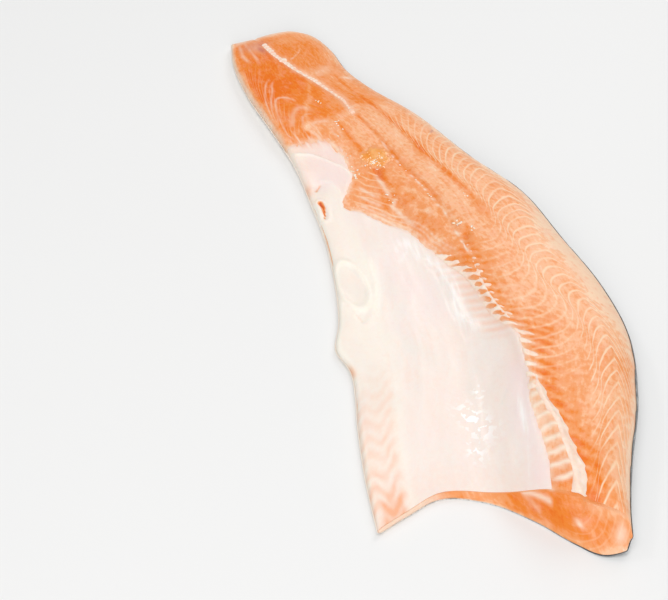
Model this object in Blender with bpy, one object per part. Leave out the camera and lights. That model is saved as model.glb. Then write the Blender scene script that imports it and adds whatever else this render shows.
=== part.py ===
"""Raw salmon fillet, one whole side of the fish.

It lies skin down with its flesh up.  +X runs to the head end, +Y to the back of the fish and
+Z up from the skin to the flesh.  The thick loin lies along the back, the thin belly flap is
spread out flat along the other edge, and the head end is cut off along a slanting line.

The solid is lofted: each section is a ring across the fillet, from the belly edge over the flesh
to the back edge and home along the skin.  Sizes below are in millimetres.
"""
import math

import bmesh
import bpy
import numpy as np

MM = 0.001

# Plan of the fillet: four edges that meet at the corners, tail to head and belly to back.
TAIL_BELLY = (-275.0, -31.0)
TAIL_BACK = (-270.0, 22.0)
HEAD_BELLY = (203.0, -112.0)
HEAD_BACK = (275.3, 24.0)
BELLY_EDGE = [TAIL_BELLY, (-252.0, -38.0), (-208.0, -42.0), (-160.0, -39.5), (-112.0, -38.0),
              (-70.0, -42.0), (-25.0, -48.0), (14.0, -58.0), (54.0, -71.0), (92.0, -79.0),
              (130.0, -92.5), (168.0, -104.0), HEAD_BELLY]
BACK_EDGE = [TAIL_BACK, (-256.0, 37.0), (-232.0, 44.0), (-200.0, 45.5), (-172.0, 53.5),
             (-128.0, 73.0), (-60.0, 91.0), (-8.0, 108.0), (42.0, 110.0), (98.0, 111.4),
             (140.0, 105.0), (186.0, 83.0), (230.0, 51.0), (258.0, 33.0), HEAD_BACK]
TAIL_CUT = [TAIL_BELLY, (-273.0, -14.0), (-273.0, 4.0), TAIL_BACK]
HEAD_CUT = [HEAD_BELLY, (199.0, -90.0), (196.0, -66.0), (208.0, -42.0), (234.0, -18.0),
            (256.0, -4.0), (270.3, 8.0), HEAD_BACK]

# The flap's free edge has a shoulder, where it steps out before running on to the head end.
SHOULDER_SHARE = 0.705
SHOULDER_WIDTH = 0.03
SHOULDER_REACH = 6.5

# Heights and places along the body: (share of the way from tail to head, value).
LOIN_HEIGHT = [(0.0, 9.0), (0.1, 12.0), (0.25, 16.0), (0.45, 23.0), (0.65, 29.0), (0.86, 33.0),
               (1.0, 30.0)]
BELLY_HEIGHT = [(0.0, 8.0), (0.12, 11.0), (0.24, 12.0), (0.34, 8.5), (0.5, 7.5), (0.8, 6.5),
                (1.0, 4.5)]
BACK_EDGE_HEIGHT = [(0.0, 4.0), (0.2, 6.0), (0.5, 10.0), (0.8, 12.0), (1.0, 8.0)]
BELLY_EDGE_HEIGHT = [(0.0, 3.5), (0.25, 4.0), (0.5, 3.5), (1.0, 3.0)]
CAVITY_FOOT = [(0.0, 0.02), (0.2, 0.05), (0.35, 0.18), (0.6, 0.3), (1.0, 0.42)]
CAVITY_TOP = [(0.0, 0.46), (0.2, 0.62), (0.6, 0.6), (0.8, 0.65), (0.92, 0.73), (1.0, 0.79)]
SPINE_LINE = [(0.0, 0.37), (0.05, 0.4), (0.1, 0.475), (0.15, 0.565), (0.21, 0.6), (0.28, 0.54),
              (0.4, 0.51), (0.6, 0.52), (0.7, 0.535), (0.8, 0.6), (0.86, 0.645), (0.93, 0.74),
              (1.0, 0.82)]

# Widths of the rounded edges, as shares of the width or of the length.
BACK_ROUND = 0.16
BELLY_ROUND = 0.035
SKIN_ROUND = 0.2
TAIL_ROUND = 0.016

# Relief of the flesh side.
SPINE_GROOVE_DEPTH = 1.6
SPINE_GROOVE_WIDTH = 0.028
RIB_RIDGE_HEIGHT = 1.8
RIB_RIDGE_WIDTH = 0.022
RIB_RIDGE_START = 0.62
VENT_SHARE = 0.395
VENT_PLACE = 0.07
VENT_DEPTH = 2.0
VENT_WIDTH = 0.02
FLAP_WAVE_HEIGHT = 1.2
FLAP_WAVES = 2.5

# The head cut leans: its top rim stays this far behind its foot (share of the width, mm).
HEAD_LEAN = [(0.0, 1.0), (0.3, 3.0), (0.55, 8.0), (0.8, 19.0), (0.9, 22.0), (1.0, 12.0)]
BODY_LENGTH = 540.0
HEAD_CUT_BULGE = 1.5

# Mesh.
ROWS = 72
TAIL_ROWS = 4
COLUMNS = 26
CUT_ROWS = 3

FLESH_COLOUR = (0.86, 0.33, 0.14, 1.0)
FLESH_ROUGHNESS = 0.35


def hermite(knots, values, at):
    """Return a smooth curve through values at knots, read at a place between them."""
    knots = np.asarray(knots, float)
    values = np.asarray(values, float)
    slopes = np.gradient(values, knots, axis=0)
    index = int(np.clip(np.searchsorted(knots, at) - 1, 0, len(knots) - 2))
    span = knots[index + 1] - knots[index]
    t = (at - knots[index]) / span
    start = (1 + 2 * t) * (1 - t) ** 2 * values[index] + t * (1 - t) ** 2 * span * slopes[index]
    end = t * t * (3 - 2 * t) * values[index + 1] - t * t * (1 - t) * span * slopes[index + 1]
    return start + end


def along(stations, share):
    """Return the smooth value that a list of (share, value) stations has at a share."""
    places, values = zip(*stations)
    return float(hermite(places, values, share))


def on_edge(points, share):
    """Return the point at a share of the way along a smooth edge in plan."""
    points = np.asarray(points, float)
    steps = np.linalg.norm(np.diff(points, axis=0), axis=1)
    knots = np.concatenate([[0.0], np.cumsum(steps)]) / steps.sum()
    return hermite(knots, points, share)


def plan(u, v):
    """Return the place in plan at u from tail to head and v from belly to back."""
    corners = [np.asarray(c) for c in (TAIL_BELLY, TAIL_BACK, HEAD_BELLY, HEAD_BACK)]
    lengthwise = (1 - v) * on_edge(BELLY_EDGE, u) + v * on_edge(BACK_EDGE, u)
    crosswise = (1 - u) * on_edge(TAIL_CUT, v) + u * on_edge(HEAD_CUT, v)
    tail = (1 - v) * corners[0] + v * corners[1]
    head = (1 - v) * corners[2] + v * corners[3]
    place_in_plan = lengthwise + crosswise - (1 - u) * tail - u * head
    place_in_plan[1] -= SHOULDER_REACH * bump(u - SHOULDER_SHARE, SHOULDER_WIDTH) * (1 - v) ** 4
    return place_in_plan


def step(low, high, x):
    """Return a smooth step from 0 at low to 1 at high."""
    t = min(max((x - low) / (high - low), 0.0), 1.0)
    return t * t * (3 - 2 * t)


def bump(x, width):
    """Return a smooth bump that is 1 at 0 and fades over its width."""
    return math.exp(-(x / width) ** 2)


def quarter_round(distance, radius):
    """Return 0 at an edge, rising to 1 over a radius as a quarter of an ellipse does."""
    t = min(max(distance / radius, 0.0), 1.0)
    return math.sqrt(1 - (1 - t) ** 2)


def relief(u, v):
    """Return the height of grooves, ridges and waves on the flesh side."""
    spine_line = along(SPINE_LINE, u)
    ridge = step(RIB_RIDGE_START - 0.05, RIB_RIDGE_START + 0.1, u)
    height = RIB_RIDGE_HEIGHT * ridge * bump(v - spine_line + 0.02, RIB_RIDGE_WIDTH)
    height -= SPINE_GROOVE_DEPTH * (1 - ridge) * bump(v - spine_line, SPINE_GROOVE_WIDTH)
    height -= VENT_DEPTH * bump(u - VENT_SHARE, VENT_WIDTH) * bump(v - VENT_PLACE, VENT_PLACE / 2)
    flap = step(0.35, 0.6, u) * (1 - step(0.0, 0.4, v))
    return height + FLAP_WAVE_HEIGHT * flap * math.sin(2 * math.pi * FLAP_WAVES * u)


def edge_height(u, v):
    """Return the height at which flesh and skin meet along the rounded edges."""
    share = step(0.3, 0.7, v)
    return (1 - share) * along(BELLY_EDGE_HEIGHT, u) + share * along(BACK_EDGE_HEIGHT, u)


def flesh_height(u, v):
    """Return the height of the flesh side."""
    belly = along(BELLY_HEIGHT, u)
    loin = along(LOIN_HEIGHT, u)
    rise = step(along(CAVITY_FOOT, u), along(CAVITY_TOP, u), v)
    body = belly + (loin - belly) * rise + relief(u, v)
    rounding = quarter_round(v, BELLY_ROUND) * quarter_round(1 - v, BACK_ROUND)
    rounding *= quarter_round(u, TAIL_ROUND)
    edge = edge_height(u, v)
    return edge + (body - edge) * rounding


def skin_height(u, v):
    """Return the height of the skin side: flat where it rests, rounded up to the edges."""
    rounding = quarter_round(v, BELLY_ROUND) * quarter_round(1 - v, SKIN_ROUND)
    rounding *= quarter_round(u, TAIL_ROUND)
    return edge_height(u, v) * (1 - rounding)


def place(u, v, lift, height):
    """Return a vertex; lift is 1 on the flesh side, 0 on the skin side and between on edges."""
    lean = along(HEAD_LEAN, v) / BODY_LENGTH
    x, y = plan(u * (1 - lean * lift), v)
    return (x * MM, y * MM, height * MM)


def shares_along():
    """Return the places of the sections, closer together round the tail's edge."""
    tail = [TAIL_ROUND * (1 - math.cos(0.5 * math.pi * i / TAIL_ROWS)) for i in range(TAIL_ROWS)]
    return tail + [TAIL_ROUND + (1 - TAIL_ROUND) * i / ROWS for i in range(ROWS + 1)]


def shares_across():
    """Return the places across a section, closer together towards both edges."""
    return [0.5 - 0.5 * math.cos(math.pi * j / COLUMNS) for j in range(COLUMNS + 1)]


def make_sheets(mesh):
    """Return the rows of vertices of the flesh side and of the skin side, which share edges."""
    flesh, skin = [], []
    for u in shares_along():
        top, bottom = [], []
        for v in shares_across():
            on_rim = u == 0 or v == 0 or v == 1
            if on_rim:
                vertex = mesh.verts.new(place(u, v, 0.5, edge_height(u, v)))
                top.append(vertex)
                bottom.append(vertex)
            else:
                top.append(mesh.verts.new(place(u, v, 1.0, flesh_height(u, v))))
                bottom.append(mesh.verts.new(place(u, v, 0.0, skin_height(u, v))))
        flesh.append(top)
        skin.append(bottom)
    return flesh, skin


def make_head_cut(mesh, top, bottom):
    """Return the rows of the head cut, from its top rim to its foot, bulging a little."""
    rows = [top]
    for k in range(1, CUT_ROWS):
        share = k / CUT_ROWS
        row = [top[0]]
        for high, low in zip(top[1:-1], bottom[1:-1]):
            point = high.co.lerp(low.co, share)
            point.x += HEAD_CUT_BULGE * MM * math.sin(math.pi * share)
            row.append(mesh.verts.new(point))
        row.append(top[-1])
        rows.append(row)
    rows.append(bottom)
    return rows


def add_faces(mesh, rows):
    """Join rows of vertices with faces, leaving out the corners that shared edges double."""
    for near, far in zip(rows, rows[1:]):
        for j in range(len(near) - 1):
            corners = [near[j], far[j], far[j + 1], near[j + 1]]
            unique = list(dict.fromkeys(corners))
            if len(unique) > 2:
                mesh.faces.new(unique)


def make_material():
    """Return the colour of the flesh."""
    material = bpy.data.materials.new("salmon_flesh")
    material.use_nodes = True
    shader = material.node_tree.nodes["Principled BSDF"]
    shader.inputs["Base Color"].default_value = FLESH_COLOUR
    shader.inputs["Roughness"].default_value = FLESH_ROUGHNESS
    shader.inputs["Metallic"].default_value = 0.0
    return material


def make_fillet():
    """Make the fillet as one closed solid."""
    mesh = bmesh.new()
    flesh, skin = make_sheets(mesh)
    add_faces(mesh, flesh)
    add_faces(mesh, skin)
    add_faces(mesh, make_head_cut(mesh, flesh[-1], skin[-1]))
    bmesh.ops.triangulate(mesh, faces=mesh.faces)
    bmesh.ops.recalc_face_normals(mesh, faces=mesh.faces)
    data = bpy.data.meshes.new("salmon_fillet")
    mesh.to_mesh(data)
    mesh.free()
    data.shade_smooth()
    data.materials.append(make_material())
    fillet = bpy.data.objects.new("salmon_fillet", data)
    bpy.context.scene.collection.objects.link(fillet)
    return fillet


def main():
    """Empty the scene and make the fillet."""
    for item in list(bpy.data.objects):
        bpy.data.objects.remove(item, do_unlink=True)
    make_fillet()


main()
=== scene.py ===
"""Raw salmon fillet: the finished look of one whole side of the fish, lying skin down.

The fillet keeps the form of its solid.  A place on it is given by two shares: u runs from the
tail (0) to the head cut (1), and v from the belly edge (0) to the back edge (1).  Lengths are in
millimetres until a mesh is made.  The flesh and the skin are closed bodies.  What lies on the
flesh, such as the belly lining, the rib ends and the septum of the tail, are thin closed layers
that rise out of it.  Masks worked out from named places are kept on the meshes, and the
finishes read them.
"""

import logging
import math
from dataclasses import dataclass, field
from enum import Enum
from typing import NamedTuple, Sequence

import bmesh
import bpy
import numpy as np
from bpy.types import Material, Mesh, Node, NodeSocket, NodeTree, Object
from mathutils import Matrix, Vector


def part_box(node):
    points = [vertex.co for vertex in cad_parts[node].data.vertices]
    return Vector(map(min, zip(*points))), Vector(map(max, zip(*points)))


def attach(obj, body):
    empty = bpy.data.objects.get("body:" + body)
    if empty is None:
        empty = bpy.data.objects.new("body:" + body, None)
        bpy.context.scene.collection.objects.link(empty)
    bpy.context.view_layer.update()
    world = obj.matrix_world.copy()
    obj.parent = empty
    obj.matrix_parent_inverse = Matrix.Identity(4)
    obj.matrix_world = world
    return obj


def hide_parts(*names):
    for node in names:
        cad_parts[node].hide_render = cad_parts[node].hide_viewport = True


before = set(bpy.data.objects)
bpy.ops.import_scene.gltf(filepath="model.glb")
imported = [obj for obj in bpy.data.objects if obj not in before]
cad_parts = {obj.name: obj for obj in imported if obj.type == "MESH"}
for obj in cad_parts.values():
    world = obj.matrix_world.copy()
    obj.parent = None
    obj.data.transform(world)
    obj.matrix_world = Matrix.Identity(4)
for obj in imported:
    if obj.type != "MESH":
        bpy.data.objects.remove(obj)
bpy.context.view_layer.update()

LOG = logging.getLogger("salmon_fillet")
MM = 0.001
Array = np.ndarray
Point = tuple[float, float]
Path = tuple[Point, ...]
Range = tuple[float, ...]
Triple = tuple[float, float, float]
Colour = Triple
NODE = "salmon_fillet"
BODY = "root"
WIDTH = 180.0  # millimetres across the fillet, from belly to back
LENGTH = 540.0  # millimetres along it, from tail to head
MIDDLE_SPAN: Point = (545.0, 175.0)  # the same along and across its middle
MAP_LOW, MAP_HIGH = 0.01, 0.99  # the flat map's margins


class Slot(Enum):
    """The material slots of the record."""

    FLESH = "flesh"
    SKIN = "skin"
    MEMBRANE = "membrane"
    CONNECTIVE = "connective"


# ---------------------------------------------------------------- curves and unevenness


def step(low: float | Array, high: float | Array, x: Array) -> Array:
    """Return a smooth step from 0 at low to 1 at high.

    Args:
        low: Where the step starts.
        high: Where it ends.
        x: The places asked for.

    Returns:
        The step's value at each place.
    """
    t = np.clip((x - low) / (high - low), 0.0, 1.0)
    return t * t * (3 - 2 * t)


def window(low: float, high: float, soft: float, x: Array) -> Array:
    """Return 1 between low and high, fading to 0 over a soft width outside them.

    Args:
        low: Lower end of the full part.
        high: Upper end of the full part.
        soft: Width of each fade.
        x: The places asked for.

    Returns:
        The window's value at each place.
    """
    return step(low - soft, low, x) * (1 - step(high, high + soft, x))


def bump(x: Array, width: float | Array) -> Array:
    """Return a smooth bump that is 1 at 0 and fades over its width.

    Args:
        x: The places asked for.
        width: Where the bump has fallen to about a third.

    Returns:
        The bump's value at each place.
    """
    return np.exp(-((x / width) ** 2))


def quarter_round(distance: Array, radius: float) -> Array:
    """Return 0 at an edge, rising to 1 over a radius as a quarter of an ellipse does.

    Args:
        distance: How far each place is from the edge.
        radius: How far in the rounding reaches.

    Returns:
        The share of the full height at each place.
    """
    t = np.clip(distance / radius, 0.0, 1.0)
    return np.sqrt(1 - (1 - t) ** 2)


def hermite(knots: Array, values: Array, at: Array) -> Array:
    """Return a smooth curve through values at knots.

    Args:
        knots: Rising places of the given values.
        values: One value or one point for each knot.
        at: The places asked for.

    Returns:
        The curve's values or points at those places.
    """
    slopes = np.gradient(values, knots, axis=0)
    index = np.clip(np.searchsorted(knots, at) - 1, 0, len(knots) - 2)
    span = knots[index + 1] - knots[index]
    t = (at - knots[index]) / span
    if values.ndim > 1:
        span = span[..., None]
        t = t[..., None]
    start = (1 + 2 * t) * (1 - t) ** 2 * values[index] + t * (1 - t) ** 2 * span * slopes[index]
    end = t * t * (3 - 2 * t) * values[index + 1] - t * t * (1 - t) * span * slopes[index + 1]
    return start + end


@dataclass(frozen=True)
class Profile:
    """A smooth curve through a few stations, such as a height along the body."""

    stations: Path

    def at(self, share: Array) -> Array:
        """Return the curve's values at shares, level beyond its ends."""
        knots, values = (np.array(column) for column in zip(*self.stations))
        return hermite(knots, values, np.clip(share, knots[0], knots[-1]))


@dataclass(frozen=True)
class EdgeCurve:
    """A smooth edge in plan, walked from 0 to 1 by the length between its points."""

    points: Path

    def at(self, share: Array) -> Array:
        """Return the edge's points.

        Args:
            share: Shares of its length.

        Returns:
            A place in plan for each share.
        """
        points = np.array(self.points)
        steps = np.linalg.norm(np.diff(points, axis=0), axis=1)
        knots = np.concatenate([[0.0], np.cumsum(steps)]) / steps.sum()
        return hermite(knots, points, share)


@dataclass(frozen=True)
class Unevenness:
    """Seeded smooth unevenness over the plan, from -1 to 1."""

    size: float
    seed: int
    octaves: int = 2
    lattice: int = 64

    def at(self, x: Array, y: Array) -> Array:
        """Return the unevenness at places in plan.

        Args:
            x: Places along the body.
            y: Places across it.

        Returns:
            The value at each place.
        """
        total = np.zeros(np.broadcast(x, y).shape)
        for octave in range(self.octaves):
            table = np.random.default_rng(self.seed + octave).uniform(-1, 1, (self.lattice,) * 2)
            a = np.asarray(x) / self.size * 2**octave + 7.3 * octave
            b = np.asarray(y) / self.size * 2**octave + 3.1 * octave
            i, j = np.floor(a).astype(int), np.floor(b).astype(int)
            s, t = step(0, 1, a - i), step(0, 1, b - j)
            i, j = i % self.lattice, j % self.lattice
            k, m = (i + 1) % self.lattice, (j + 1) % self.lattice
            near = table[i, j] * (1 - s) + table[k, j] * s
            far = table[i, m] * (1 - s) + table[k, m] * s
            total += (near * (1 - t) + far * t) / 2**octave
        return total / (2 - 0.5 ** (self.octaves - 1))


# ---------------------------------------------------------------- form of the fillet


@dataclass(frozen=True)
class FilletForm:
    """The sizes of the fillet's solid, and the places of its surfaces."""

    tail_belly: Point = (-275.0, -31.0)
    tail_back: Point = (-270.0, 22.0)
    head_belly: Point = (203.0, -112.0)
    head_back: Point = (275.3, 24.0)
    belly_edge: EdgeCurve = EdgeCurve((
        (-275.0, -31.0), (-252.0, -38.0), (-208.0, -42.0), (-160.0, -39.5), (-112.0, -38.0),
        (-70.0, -42.0), (-25.0, -48.0), (14.0, -58.0), (54.0, -71.0), (92.0, -79.0),
        (130.0, -92.5), (168.0, -104.0), (203.0, -112.0)))
    back_edge: EdgeCurve = EdgeCurve((
        (-270.0, 22.0), (-256.0, 37.0), (-232.0, 44.0), (-200.0, 45.5), (-172.0, 53.5),
        (-128.0, 73.0), (-60.0, 91.0), (-8.0, 108.0), (42.0, 110.0), (98.0, 111.4),
        (140.0, 105.0), (186.0, 83.0), (230.0, 51.0), (258.0, 33.0), (275.3, 24.0)))
    tail_cut: EdgeCurve = EdgeCurve(((-275.0, -31.0), (-273.0, -14.0), (-273.0, 4.0), (-270.0, 22.0)))
    head_cut: EdgeCurve = EdgeCurve((
        (203.0, -112.0), (199.0, -90.0), (196.0, -66.0), (208.0, -42.0), (234.0, -18.0),
        (256.0, -4.0), (270.3, 8.0), (275.3, 24.0)))
    shoulder_share: float = 0.705
    shoulder_width: float = 0.03
    shoulder_reach: float = 6.5
    loin_height: Profile = Profile((
        (0.0, 9.0), (0.1, 12.0), (0.25, 16.0), (0.45, 23.0), (0.65, 29.0), (0.86, 33.0),
        (1.0, 30.0)))
    belly_height: Profile = Profile((
        (0.0, 8.0), (0.12, 11.0), (0.24, 12.0), (0.34, 8.5), (0.5, 7.5), (0.8, 6.5), (1.0, 4.5)))
    back_edge_height: Profile = Profile(((0.0, 4.0), (0.2, 6.0), (0.5, 10.0), (0.8, 12.0), (1.0, 8.0)))
    belly_edge_height: Profile = Profile(((0.0, 3.5), (0.25, 4.0), (0.5, 3.5), (1.0, 3.0)))
    cavity_foot: Profile = Profile(((0.0, 0.02), (0.2, 0.05), (0.35, 0.18), (0.6, 0.3), (1.0, 0.42)))
    cavity_top: Profile = Profile((
        (0.0, 0.46), (0.2, 0.62), (0.6, 0.6), (0.8, 0.65), (0.92, 0.73), (1.0, 0.79)))
    spine_line: Profile = Profile((
        (0.0, 0.37), (0.05, 0.4), (0.1, 0.475), (0.15, 0.565), (0.21, 0.6), (0.28, 0.54),
        (0.4, 0.51), (0.6, 0.52), (0.7, 0.535), (0.8, 0.6), (0.86, 0.645), (0.93, 0.74),
        (1.0, 0.82)))
    back_round: float = 0.16
    belly_round: float = 0.035
    skin_round: float = 0.2
    tail_round: float = 0.016
    spine_groove_depth: float = 1.6
    spine_groove_width: float = 0.028
    rib_ridge_height: float = 1.8
    rib_ridge_width: float = 0.022
    rib_ridge_start: float = 0.62
    vent_share: float = 0.395
    vent_place: float = 0.07
    vent_depth: float = 2.0
    vent_width: float = 0.02
    flap_wave_height: float = 1.2
    flap_waves: float = 2.5
    head_lean: Profile = Profile((
        (0.0, 1.0), (0.3, 3.0), (0.55, 8.0), (0.8, 19.0), (0.9, 22.0), (1.0, 12.0)))
    body_length: float = LENGTH
    head_cut_bulge: float = 1.5
    rim_turn: float = 0.02

    def plan(self, u: Array, v: Array) -> Array:
        """Return places in plan.

        Args:
            u: Shares from tail to head.
            v: Shares from belly to back.

        Returns:
            An array of x and y with one more axis than u.
        """
        u, v = np.broadcast_arrays(np.asarray(u, float), np.asarray(v, float))
        a, b = u[..., None], v[..., None]
        corners = [np.array(c) for c in (self.tail_belly, self.tail_back, self.head_belly, self.head_back)]
        lengthwise = (1 - b) * self.belly_edge.at(u) + b * self.back_edge.at(u)
        crosswise = (1 - a) * self.tail_cut.at(v) + a * self.head_cut.at(v)
        tail = (1 - b) * corners[0] + b * corners[1]
        head = (1 - b) * corners[2] + b * corners[3]
        place = lengthwise + crosswise - (1 - a) * tail - a * head
        shoulder = bump(u - self.shoulder_share, self.shoulder_width) * (1 - v) ** 4
        place[..., 1] -= self.shoulder_reach * shoulder
        return place

    @staticmethod
    def from_rim(v: Array, width: float) -> Array:
        """Return a step from 0 at both long edges to 1 at a width from them."""
        return step(0.0, width, np.minimum(v, 1 - v))

    def leaned(self, u: Array, v: Array, lift: float | Array) -> Array:
        """Return places in plan with the lean of the head cut, lift being 1 on the flesh side."""
        lean = self.head_lean.at(v) / self.body_length
        return self.plan(u * (1 - lean * lift), v)

    def surface(self, u: Array, v: Array, lift: float | Array, height: Array) -> Array:
        """Return points of a surface.

        Args:
            u: Shares from tail to head.
            v: Shares from belly to back.
            lift: 1 on the flesh side, 0 on the skin side.
            height: The height at each place, in millimetres.

        Returns:
            An array of x, y and z with one more axis than the height.
        """
        return np.concatenate([self.leaned(u, v, lift), height[..., None]], axis=-1)

    def relief(self, u: Array, v: Array) -> Array:
        """Return the height of the solid's grooves, ridges and waves.

        Args:
            u: Shares from tail to head.
            v: Shares from belly to back.

        Returns:
            The height in millimetres.
        """
        spine = self.spine_line.at(u)
        ridge = step(self.rib_ridge_start - 0.05, self.rib_ridge_start + 0.1, u)
        height = self.rib_ridge_height * ridge * bump(v - spine + 0.02, self.rib_ridge_width)
        height = height - self.spine_groove_depth * (1 - ridge) * bump(v - spine, self.spine_groove_width)
        vent = bump(u - self.vent_share, self.vent_width) * bump(v - self.vent_place, self.vent_place / 2)
        height = height - self.vent_depth * vent
        flap = step(0.35, 0.6, u) * (1 - step(0.0, 0.4, v))
        return height + self.flap_wave_height * flap * np.sin(2 * np.pi * self.flap_waves * u)

    def edge_height(self, u: Array, v: Array) -> Array:
        """Return the height at which flesh and skin meet along the rounded edges."""
        share = step(0.3, 0.7, v)
        return (1 - share) * self.belly_edge_height.at(u) + share * self.back_edge_height.at(u)

    def flesh_height(self, u: Array, v: Array) -> Array:
        """Return the height of the flesh side.

        Args:
            u: Shares from tail to head.
            v: Shares from belly to back.

        Returns:
            The height in millimetres.
        """
        belly, loin = self.belly_height.at(u), self.loin_height.at(u)
        rise = step(self.cavity_foot.at(u), self.cavity_top.at(u), v)
        body = belly + (loin - belly) * rise + self.relief(u, v)
        rounding = quarter_round(v, self.belly_round) * quarter_round(1 - v, self.back_round)
        rounding = rounding * quarter_round(u, self.tail_round)
        edge = self.edge_height(u, v)
        return edge + (body - edge) * rounding

    def skin_height(self, u: Array, v: Array) -> Array:
        """Return the height of the skin side, flat where it rests.

        Args:
            u: Shares from tail to head.
            v: Shares from belly to back.

        Returns:
            The height in millimetres.
        """
        rounding = quarter_round(v, self.belly_round) * quarter_round(1 - v, self.skin_round)
        rounding = rounding * quarter_round(u, self.tail_round)
        return self.edge_height(u, v) * (1 - rounding)


@dataclass(frozen=True)
class Septa:
    """The thin walls between the muscle blocks, as lines across the flesh.

    Each line starts at a peak near the back that points to the tail.  From there it bends
    towards the head, runs flat in a bundle, and turns down to the spine.
    """

    count: Profile = Profile((
        (0.0, 0.0), (0.3, 16.5), (0.6, 34.2), (0.65, 37.3), (0.8, 47.5), (0.88, 51.9), (1.0, 57.2)))
    peak: Profile = Profile((
        (0.0, 1.0), (0.3, 0.97), (0.4, 0.93), (0.5, 0.872), (0.56, 0.866), (0.655, 0.84),
        (0.7, 0.868), (0.75, 0.893), (0.81, 0.915), (0.9, 0.928), (1.0, 0.94)))
    bundle: Profile = Profile((
        (0.0, 0.74), (0.35, 0.72), (0.45, 0.725), (0.52, 0.735), (0.62, 0.742), (0.68, 0.755),
        (0.73, 0.81), (0.8, 0.842), (0.85, 0.86), (1.0, 0.87)))
    upper_reach: Profile = Profile(((0.0, 0.12), (0.3, 0.11), (0.4, 0.09), (0.5, 0.055), (1.0, 0.05)))
    lower_reach: Profile = Profile(((0.0, 0.05), (0.6, 0.055), (0.8, 0.066), (1.0, 0.05)))
    straightness: Profile = Profile((
        (0.3, 0.5), (0.4, 0.45), (0.5, 0.2), (0.72, 0.2), (0.8, 0.6), (0.87, 0.75)))
    outer_slope: Profile = Profile(((0.3, 0.3), (0.7, 0.2), (0.78, 0.7), (0.9, 0.95)))
    belly_pull: float = 0.0248
    belly_origin: float = 0.09

    def offset(self, u: Array, v: Array, spine: Array) -> Array:
        """Return how far towards the head each line has moved from its peak.

        Args:
            u: Shares from tail to head.
            v: Shares from belly to back.
            spine: The spine line's place at each u.

        Returns:
            The move as a share of the length.
        """
        peak, bundle = self.peak.at(u), self.bundle.at(u)
        upper, lower = self.upper_reach.at(u), self.lower_reach.at(u)
        straight = self.straightness.at(u)
        beyond = np.maximum(v - peak, 0)
        outer = self.outer_slope.at(u) * beyond + 8 * beyond**2
        w = np.clip((peak - v) / (peak - bundle), 0, 0.985)
        inner = upper * (straight * w + (1 - straight) * (1 - np.sqrt(1 - w * w)))
        down = np.clip((bundle - v) / (bundle - spine), 0, 1)
        turned = upper * (straight + (1 - straight) * 0.83) + lower * np.sqrt(1 - (1 - down) ** 2)
        return np.where(v > peak, outer, np.where(v > bundle, inner, turned))

    def phase(self, u: Array, v: Array, spine: Array) -> Array:
        """Return a count that passes a whole number at each line.

        Args:
            u: Shares from tail to head.
            v: Shares from belly to back.
            spine: The spine line's place at each u.

        Returns:
            The count at each place.
        """
        back = self.count.at(u - self.offset(u, v, spine))
        belly = 1.15 * self.count.at(u - self.belly_pull / (v + self.belly_origin) + 0.06)
        side = step(-0.01, 0.01, v - spine)
        return back * side + belly * (1 - side)


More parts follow.
